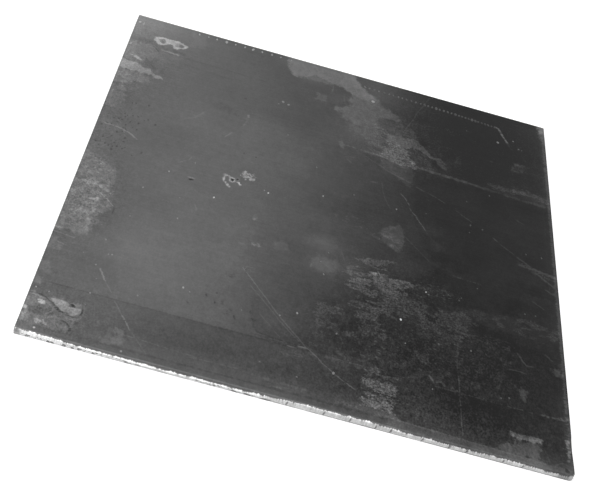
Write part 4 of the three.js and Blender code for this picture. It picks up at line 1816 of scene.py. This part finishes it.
class NodeRecipe:
    """A Geometry Nodes tree with named inputs, which is applied to an object."""

    def __init__(self, name: str, *inputs: tuple[str, str, object]) -> None:
        """Starts an empty tree with a geometry going in and one coming out.

        Args:
            name: the tree's name.
            inputs: for each named input its name, its socket type, such as Float, Int or
                Material, and what it is set to.
        """
        self.group = bpy.data.node_groups.new(name, "GeometryNodeTree")
        self.tree = Tree(self.group)
        for way in ("INPUT", "OUTPUT"):
            self.group.interface.new_socket("Geometry", in_out=way, socket_type="NodeSocketGeometry")
        self.values: dict[str, object] = {}
        for label, kind, value in inputs:
            socket = self.group.interface.new_socket(label, in_out="INPUT", socket_type=f"NodeSocket{kind}")
            self.values[socket.identifier] = value
        self.given = self.tree.node("NodeGroupInput")

    def attribute(self, name: str) -> Wire:
        """Reads an attribute of the geometry, of three numbers."""
        values = {"Name": name}
        found = self.tree.node("GeometryNodeInputNamedAttribute", values, data_type="FLOAT_VECTOR")
        return found["Attribute"]

    def finish(self, geometry: Wire) -> None:
        """Ends the tree: real geometry, with the material of the input Finish."""
        real = self.tree.node("GeometryNodeRealizeInstances", {"Geometry": geometry})["Geometry"]
        values = {"Geometry": real, "Material": self.given["Finish"]}
        dressed = self.tree.node("GeometryNodeSetMaterial", values)["Geometry"]
        self.tree.node("NodeGroupOutput", {"Geometry": dressed})

    def apply(self, target: Object) -> Object:
        """Runs the tree on an object and keeps the result as its plain mesh.

        Args:
            target: the object.

        Returns:
            The same object, with its new mesh and no modifier.
        """
        modifier = target.modifiers.new(self.group.name, "NODES")
        modifier.node_group = self.group
        for identifier, value in self.values.items():
            modifier[identifier] = value
        graph = bpy.context.evaluated_depsgraph_get()
        graph.update()
        mesh = bpy.data.meshes.new_from_object(
            target.evaluated_get(graph), preserve_all_data_layers=True, depsgraph=graph
        )
        target.modifiers.remove(modifier)
        target.data = mesh
        return target


@dataclass(frozen=True)
class EdgeRelief:
    """Relief of the sheared edge: drag lines down the land, a grain in the tear.

    Attributes:
        tear_depth: depth of the torn grain, mm.
        tear_size: size of its lumps, mm.
        drag_depth: depth of the drag lines, mm.
        drag_pitch: distance between them, mm.
        drag_stretch: what draws them out down the edge.
        detail: how many finer layers both have.
        tear_span: where the land gives way to the tear, mm over the break line.
        seed: moves the pattern to another place.
        seed_stride: how far each seed moves it, mm.
    """

    tear_depth: float = 0.22
    tear_size: float = 1.6
    drag_depth: float = 0.1
    drag_pitch: float = 2.4
    drag_stretch: Triple = (1.0, 1.0, 0.1)
    detail: float = 3.0
    tear_span: Span = (-0.3, 0.0)
    seed: int = 5
    seed_stride: float = 37.0

    def apply(self, plate: Object, finish: Material) -> Object:
        """Presses the relief into the edge, always inwards.

        Args:
            plate: the plate.
            finish: its material.

        Returns:
            The plate.
        """
        recipe = NodeRecipe(
            "edge_relief",
            ("Tear depth", "Float", self.tear_depth),
            ("Tear size", "Float", self.tear_size),
            ("Drag depth", "Float", self.drag_depth),
            ("Drag pitch", "Float", self.drag_pitch),
            ("Seed", "Int", self.seed),
            ("Finish", "Material", finish),
        )
        tree, given = recipe.tree, recipe.given
        mm = tree.node("GeometryNodeInputPosition")["Position"] * (1.0 / MM)
        mm = mm + given["Seed"] * self.seed_stride
        _, above, _ = recipe.attribute("edge_place").parts()
        stretched = mm * tree.vector(*self.drag_stretch)
        lump, drag = (
            tree.node("ShaderNodeTexNoise", {"Vector": place, "Scale": 1.0, "Detail": self.detail})["Fac"]
            for place in (mm / given["Tear size"], stretched / given["Drag pitch"])
        )
        torn = 1.0 - above.rise(*self.tear_span)
        press = lump * given["Tear depth"] * torn + drag * given["Drag depth"] * (1.0 - torn)
        shift = recipe.attribute("inward") * press * MM
        moved = tree.node("GeometryNodeSetPosition", {"Geometry": given["Geometry"], "Offset": shift})
        recipe.finish(moved["Geometry"])
        return recipe.apply(plate)


@dataclass(frozen=True)
class StrikeRow:
    """A row of short bright strikes that a tool left along a line.

    Attributes:
        start: its first strike, mm.
        end: its last strike, mm.
        pitch: distance between strikes, mm.
        size: width and length of a strike, mm.
        shades: faintest and brightest shade.
        seed: what its variation starts from.
    """

    start: Point
    end: Point
    pitch: float
    size: Point
    shades: Point
    seed: int


@dataclass(frozen=True)
class Speck:
    """A single bright speck.

    Attributes:
        place: where it is, mm.
        size: its width and length, mm.
        shade: its shade, of 255.
    """

    place: Point
    size: Point
    shade: float


def specks(*rows: tuple[float, ...]) -> tuple[Speck, ...]:
    """Specks, each from its numbers in a row."""
    return tuple(Speck(row[:2], row[2:4], row[4]) for row in rows)


# Single bright specks: X, Y, width, length, shade
SPECKS = specks(
    (-57, 193, 2.8, 4.8, 122), (-51, 190, 2.8, 4.6, 118), (35.5, 250, 3.6, 4.8, 148),
    (172, 236, 2.4, 3.6, 120), (189, 248.5, 1.6, 2.8, 98), (194.5, 233.5, 1.7, 3, 84),
    (198, 232.5, 1.3, 2.4, 64), (138, 243, 1.4, 3, 66), (-172, -166, 1.5, 2.6, 132),
    (-175, -167, 1.2, 3, 122), (-108, -186, 1.6, 3, 160), (-102, -190, 1.4, 2.4, 122),
    (-207.5, -25, 1.4, 3, 150), (-165, -46, 1.4, 3, 130), (-147, -6, 1.5, 3, 145),
    (-101.5, -30, 1.8, 3.4, 205), (-128, -82, 1.4, 3, 132), (-168, -99, 1.2, 2, 122),
    (-46, 126, 1.2, 3, 108), (-3, 26, 1.4, 2.8, 142), (-54, 4, 1.6, 3, 190), (-58, 7, 1.4, 2.4, 122),
    (68, 39, 1.5, 3, 120), (26, 44, 1.3, 2.8, 92), (147, -63, 1.3, 2.6, 70), (99.5, -92, 1.7, 3.2, 160),
    (-11, -178.5, 2, 3.6, 140), (-25, -188.5, 1.6, 2.8, 132), (83, -180, 1.4, 2.8, 112),
    (78, -146, 1.9, 3.6, 225), (25, -249.5, 2.8, 5.2, 124), (140.5, -165, 1.8, 3.4, 84),
    (211, 22, 1.3, 3, 84), (195.5, 21, 1.3, 2.8, 72), (161, 115.5, 1.2, 3, 74), (137.5, 91, 1.2, 3, 66),
    (-142, -295, 1.6, 2.6, 140), (-211, -294, 2.2, 3, 190), (112, -168, 1.8, 3, 78),
    (-13, 77, 1.2, 2.8, 102), (-181, -146, 1.5, 3, 126), (-131, -47, 1.8, 3, 108),
    (-61, 186, 1.6, 2.4, 104), (-195, -174, 1.3, 2.6, 118), (-142, -215, 1.4, 2.6, 122),
    (-178, -207, 1.2, 2.2, 118), (-179, -229, 1.6, 2.8, 140), (-57, -196, 1.4, 2.2, 108),
    (24, -193, 1.5, 3, 100), (102, -95, 1.6, 2.6, 90), (107.5, -235, 1.4, 2.8, 88),
    (166, -222, 1.6, 2.6, 80), (173, -219, 1.4, 2.8, 78), (141, 47, 1.4, 3, 66), (153, 45, 1.4, 3, 64),
    (140, 33, 1.3, 3, 64), (97, 46, 1.4, 3, 66), (-35, -260.5, 1.4, 2.2, 102),
    (-4, -267.5, 1.8, 2.4, 100), (50, -271, 1.8, 3, 110), (-221.5, 284, 2.8, 4.6, 185),
    (-217, 282, 1.6, 7, 158), (-222.5, 229, 2.8, 7, 160), (-179.8, -246.4, 1.4, 2, 110),
    (3, -89, 1.4, 2.4, 104), (-126, 22, 1.2, 3, 122), (-221, -240, 1.6, 3, 165),
    (-210, -242, 1.2, 2.4, 140), (-182, -187, 1.8, 3, 128), (9, -71, 1.2, 2.6, 96),
    (7, -108, 1.5, 3, 120), (191, -84, 1.4, 2.4, 66), (201, -82.5, 1.4, 2.4, 66),
    (130, -91, 1.8, 2.6, 66), (132, -86, 1.2, 2.4, 70),
)


@dataclass
class BrightMarks:
    """Strikes and specks: low bright chips that lie in the skin of the top face.

    Attributes:
        top: height of the top face, metres.
        drop: how far the skin lies below it, metres.
    """

    top: float
    drop: float

    rows: tuple[StrikeRow, ...] = (
        StrikeRow((-157.5, 293.5), (-89.5, 293.5), 9.7, (2.2, 5.6), (148, 168), 3),
        StrikeRow((-79, 293.5), (-58, 293.5), 10.5, (2.4, 5.4), (126, 140), 5),
        StrikeRow((25, 278.6), (41, 278), 5.3, (2.2, 5.4), (86, 112), 8),
        StrikeRow((47, 277.6), (81.6, 276), 4.95, (2.0, 5.0), (72, 90), 6),
        StrikeRow((86.6, 275.8), (121.4, 274), 4.35, (2.2, 5.4), (62, 86), 7),
        StrikeRow((125.6, 273.4), (169, 269.2), 3.5, (2.4, 5.2), (48, 70), 9),
    )
    specks: tuple[Speck, ...] = SPECKS

    # The chips, by segments and rings, how they lean, radians, and how their sizes vary
    chip_segments: int = 8
    chip_rings: int = 4
    lean: float = 0.25
    size_spread: float = 0.2
    seed: int = 11

    # How the strikes of a row vary: their places, in pitches, and their shares of the size
    strike_shift: float = 0.2
    strike_sizes: Span = (0.8, 1.2)

    def recipe(self, name: str, finish: Material) -> NodeRecipe:
        """Tree that puts a low chip on each point of a mesh.

        Args:
            name: the tree's name.
            finish: the chips' material.

        Returns:
            The recipe, ready to be applied.
        """
        recipe = NodeRecipe(
            name,
            ("Height", "Float", self.drop),
            ("Lean", "Float", self.lean),
            ("Size spread", "Float", self.size_spread),
            ("Seed", "Int", self.seed),
            ("Finish", "Material", finish),
        )
        tree, given = recipe.tree, recipe.given
        ball = {"Segments": self.chip_segments, "Rings": self.chip_rings, "Radius": 0.5}
        chip = tree.node("GeometryNodeMeshUVSphere", ball)["Mesh"]
        spread, lean = (
            tree.node(
                "FunctionNodeRandomValue", {"Min": -1.0, "Max": 1.0, "Seed": seed}, data_type="FLOAT"
            )["Value"]
            for seed in (given["Seed"], given["Seed"] + 1.0)
        )
        wide, long, _ = recipe.attribute("speck_size").parts()
        factor = spread * given["Size spread"] + 1.0
        values = {
            "Points": given["Geometry"],
            "Instance": chip,
            "Rotation": tree.vector(0.0, 0.0, lean * given["Lean"]),
            "Scale": tree.vector(wide * factor, long * factor, given["Height"] * 2.0),
        }
        recipe.finish(tree.node("GeometryNodeInstanceOnPoints", values)["Instances"])
        return recipe

    def points(self) -> list[Speck]:
        """All strikes and specks, those of the rows worked out from their rule."""
        made = list(self.specks)
        small, large = self.strike_sizes
        for row in self.rows:
            chance = np.random.default_rng(row.seed)
            count = round(math.dist(row.start, row.end) / row.pitch)
            for step in range(count + 1):
                _, shift, shade, size = chance.random(4)
                x, y = (a + (b - a) * step / count for a, b in zip(row.start, row.end))
                x += (shift - 0.5) * row.pitch * self.strike_shift
                share = small + (large - small) * size
                faint, bright = row.shades
                wide, long = row.size
                made.append(Speck((x, y), (wide * share, long * share), faint + (bright - faint) * shade))
        return made

    def build(self, finish: Material) -> Object:
        """Builds the chips as one piece.

        Args:
            finish: their material.

        Returns:
            The piece.
        """
        specks = self.points()
        mesh = bpy.data.meshes.new("bright_marks")
        height = self.top - self.drop
        (wide, long), setback = TopFaceWear.spread, TopFaceWear.setback
        places = [(s.place[0] / wide * MM, (s.place[1] - setback) / long * MM, height) for s in specks]
        mesh.from_pydata(places, [], [])
        sizes = np.array([(s.size[0] * MM, s.size[1] * MM, 0.0) for s in specks])
        shades = np.array([s.shade / SHADES for s in specks])
        write_attributes(mesh, {"speck_size": sizes, "speck_shade": shades})
        made = self.recipe("bright_marks", finish).apply(add_object("bright_marks", mesh))
        smooth(made.data)
        return made


# ---------------------------------------------------------------- studio


@dataclass(frozen=True)
class Lamp:
    """A soft square lamp that faces the middle of the plate.

    Attributes:
        name: what it is called.
        place: where it hangs, metres.
        size: its side, metres.
        power: its power, watts.
    """

    name: str
    place: Triple
    size: float
    power: float

    def build(self) -> None:
        """Hangs the lamp."""
        data = bpy.data.lights.new(self.name, "AREA")
        data.shape, data.size, data.energy = "SQUARE", self.size, self.power
        made = add_object(self.name, data)
        made.location = self.place
        made.rotation_euler = (-Vector(self.place)).to_track_quat("-Z", "Y").to_euler()


@dataclass(frozen=True)
class Studio:
    """A round pale floor that curves up into a low wall, soft lamps and a dim sky."""

    floor_radius: float = 3.6
    cove_radius: float = 0.6
    wall_height: float = 1.1
    cove_steps: int = 12
    turns: int = 96
    flat_rings: tuple[float, ...] = (0.5, 1.5)
    floor_level: float = -0.0001
    floor_shade: float = 0.8
    floor_grain: Noise = Noise(0.4)
    grain_strength: float = 0.002
    roughness: float = 0.9
    seen_glow: float = 0.45
    far_glow: float = 0.15
    glow_start: float = 1.0
    glow_end: float = 2.6
    sky: float = 0.26
    lamps: tuple[Lamp, ...] = (
        Lamp("key_lamp", (-0.9, -0.9, 2.6), 2.0, 54.0),
        Lamp("fill_lamp", (1.2, 0.4, 2.8), 2.2, 30.0),
    )

    def paper(self) -> Material:
        """Pale paper that cameras and shiny things see a little brighter.

        Returns:
            The material.
        """
        made, tree = new_material("studio_paper")
        ray = tree.node("ShaderNodeLightPath")
        seen = (ray["Is Camera Ray"] + ray["Is Glossy Ray"] + ray["Is Transmission Ray"]).at_most(1.0)
        place = tree.place()
        away = tree.node("ShaderNodeVectorMath", {"Vector": place}, operation="LENGTH")["Value"]
        glow = seen * (self.seen_glow + away.rise(self.glow_start, self.glow_end) * self.far_glow)
        shade = self.floor_shade + self.floor_grain.at(place) * self.grain_strength
        values = {
            "Base Color": grey(tree, shade),
            "Roughness": self.roughness,
            "Specular IOR Level": 0.0,
            "Emission Color": grey(tree, glow),
            "Emission Strength": 1.0,
        }
        principled(tree, values)
        return made

    def build(self) -> None:
        """Builds the floor, the lamps and the sky."""
        flat = (*self.flat_rings, self.floor_radius - self.cove_radius)
        profile = [(radius, 0.0) for radius in flat]
        for step in range(1, self.cove_steps + 1):
            angle = step / self.cove_steps * math.pi / 2
            reach = self.floor_radius - self.cove_radius * (1 - math.sin(angle))
            profile.append((reach, self.cove_radius * (1 - math.cos(angle))))
        profile.append((self.floor_radius, self.wall_height))
        points, faces = [(0.0, 0.0, self.floor_level)], []
        for radius, height in profile:
            for turn in range(self.turns):
                angle = 2 * math.pi * turn / self.turns
                points.append((radius * math.cos(angle), radius * math.sin(angle), self.floor_level + height))
        for turn in range(self.turns):
            following = (turn + 1) % self.turns
            faces.append((0, 1 + turn, 1 + following))
            for ring in range(len(profile) - 1):
                low, high = 1 + ring * self.turns, 1 + (ring + 1) * self.turns
                faces.append((low + turn, high + turn, high + following, low + following))
        mesh = bpy.data.meshes.new("studio_floor")
        mesh.from_pydata(points, [], faces)
        mesh.materials.append(self.paper())
        smooth(mesh)
        add_object("studio_floor", mesh)
        for lamp in self.lamps:
            lamp.build()
        world = bpy.data.worlds.new("sky")
        world.use_nodes = True
        tree = Tree(world.node_tree)
        light = tree.node("ShaderNodeBackground", {"Color": (1.0, 1.0, 1.0, 1.0), "Strength": self.sky})
        tree.node("ShaderNodeOutputWorld", {"Surface": light["Background"]})
        bpy.context.scene.world = world


@dataclass(frozen=True)
class CameraStand:
    """Where the camera stands.

    Attributes:
        aim: the point that it looks at, on the top face, metres.
        distance: from that point, metres.
        azimuth: how far round from the front, degrees to the right.
        elevation: above the horizon, degrees.
        roll: how far it is tipped, degrees anticlockwise.
        lens: focal length, mm.
        sensor: width of the film, mm.
    """

    aim: Triple = (-0.0111, -0.0757, 0.006)
    distance: float = 1.5235
    azimuth: float = -4.80
    elevation: float = 30.96
    roll: float = 17.73
    lens: float = 101.4
    sensor: float = 36.0

    def build(self) -> None:
        """Sets up the camera."""
        round_, up = math.radians(self.azimuth), math.radians(self.elevation)
        back = Vector((math.sin(round_) * math.cos(up), -math.cos(round_) * math.cos(up), math.sin(up)))
        data = bpy.data.cameras.new("camera")
        data.lens, data.sensor_width = self.lens, self.sensor
        made = add_object("camera", data)
        turn = back.to_track_quat("Z", "Y").to_matrix() @ Matrix.Rotation(math.radians(self.roll), 3, "Z")
        made.matrix_world = Matrix.LocRotScale(Vector(self.aim) + back * self.distance, turn, None)
        bpy.context.scene.camera = made


def main() -> None:
    """Builds the plate, its marks and the studio, in order."""
    logging.basicConfig(level=logging.INFO, format="%(message)s")
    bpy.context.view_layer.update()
    low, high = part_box(PLATE_NODE)
    size = (high - low) / MM
    bpy.context.scene.view_settings.view_transform = "Standard"
    CameraStand().build()
    Studio().build()

    scale = WeatheredScale().material()
    sheared = ShearedPlate(round(size.x, 3), round(size.y, 3), round(size.z, 3))
    plate = EdgeRelief().apply(sheared.build(scale), scale)
    plate.data.set_sharp_from_angle(angle=math.radians(SHARP_FROM_DEGREES))
    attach(plate, "root")
    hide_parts(PLATE_NODE)
    log.info("plate: %d faces", len(plate.data.polygons))

    marks = BrightMarks(high.z, sheared.skin_drop * MM).build(BrightSpeck().material())
    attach(marks, "root")
    log.info("bright marks: %d faces", len(marks.data.polygons))


if __name__ == "__main__":
    main()
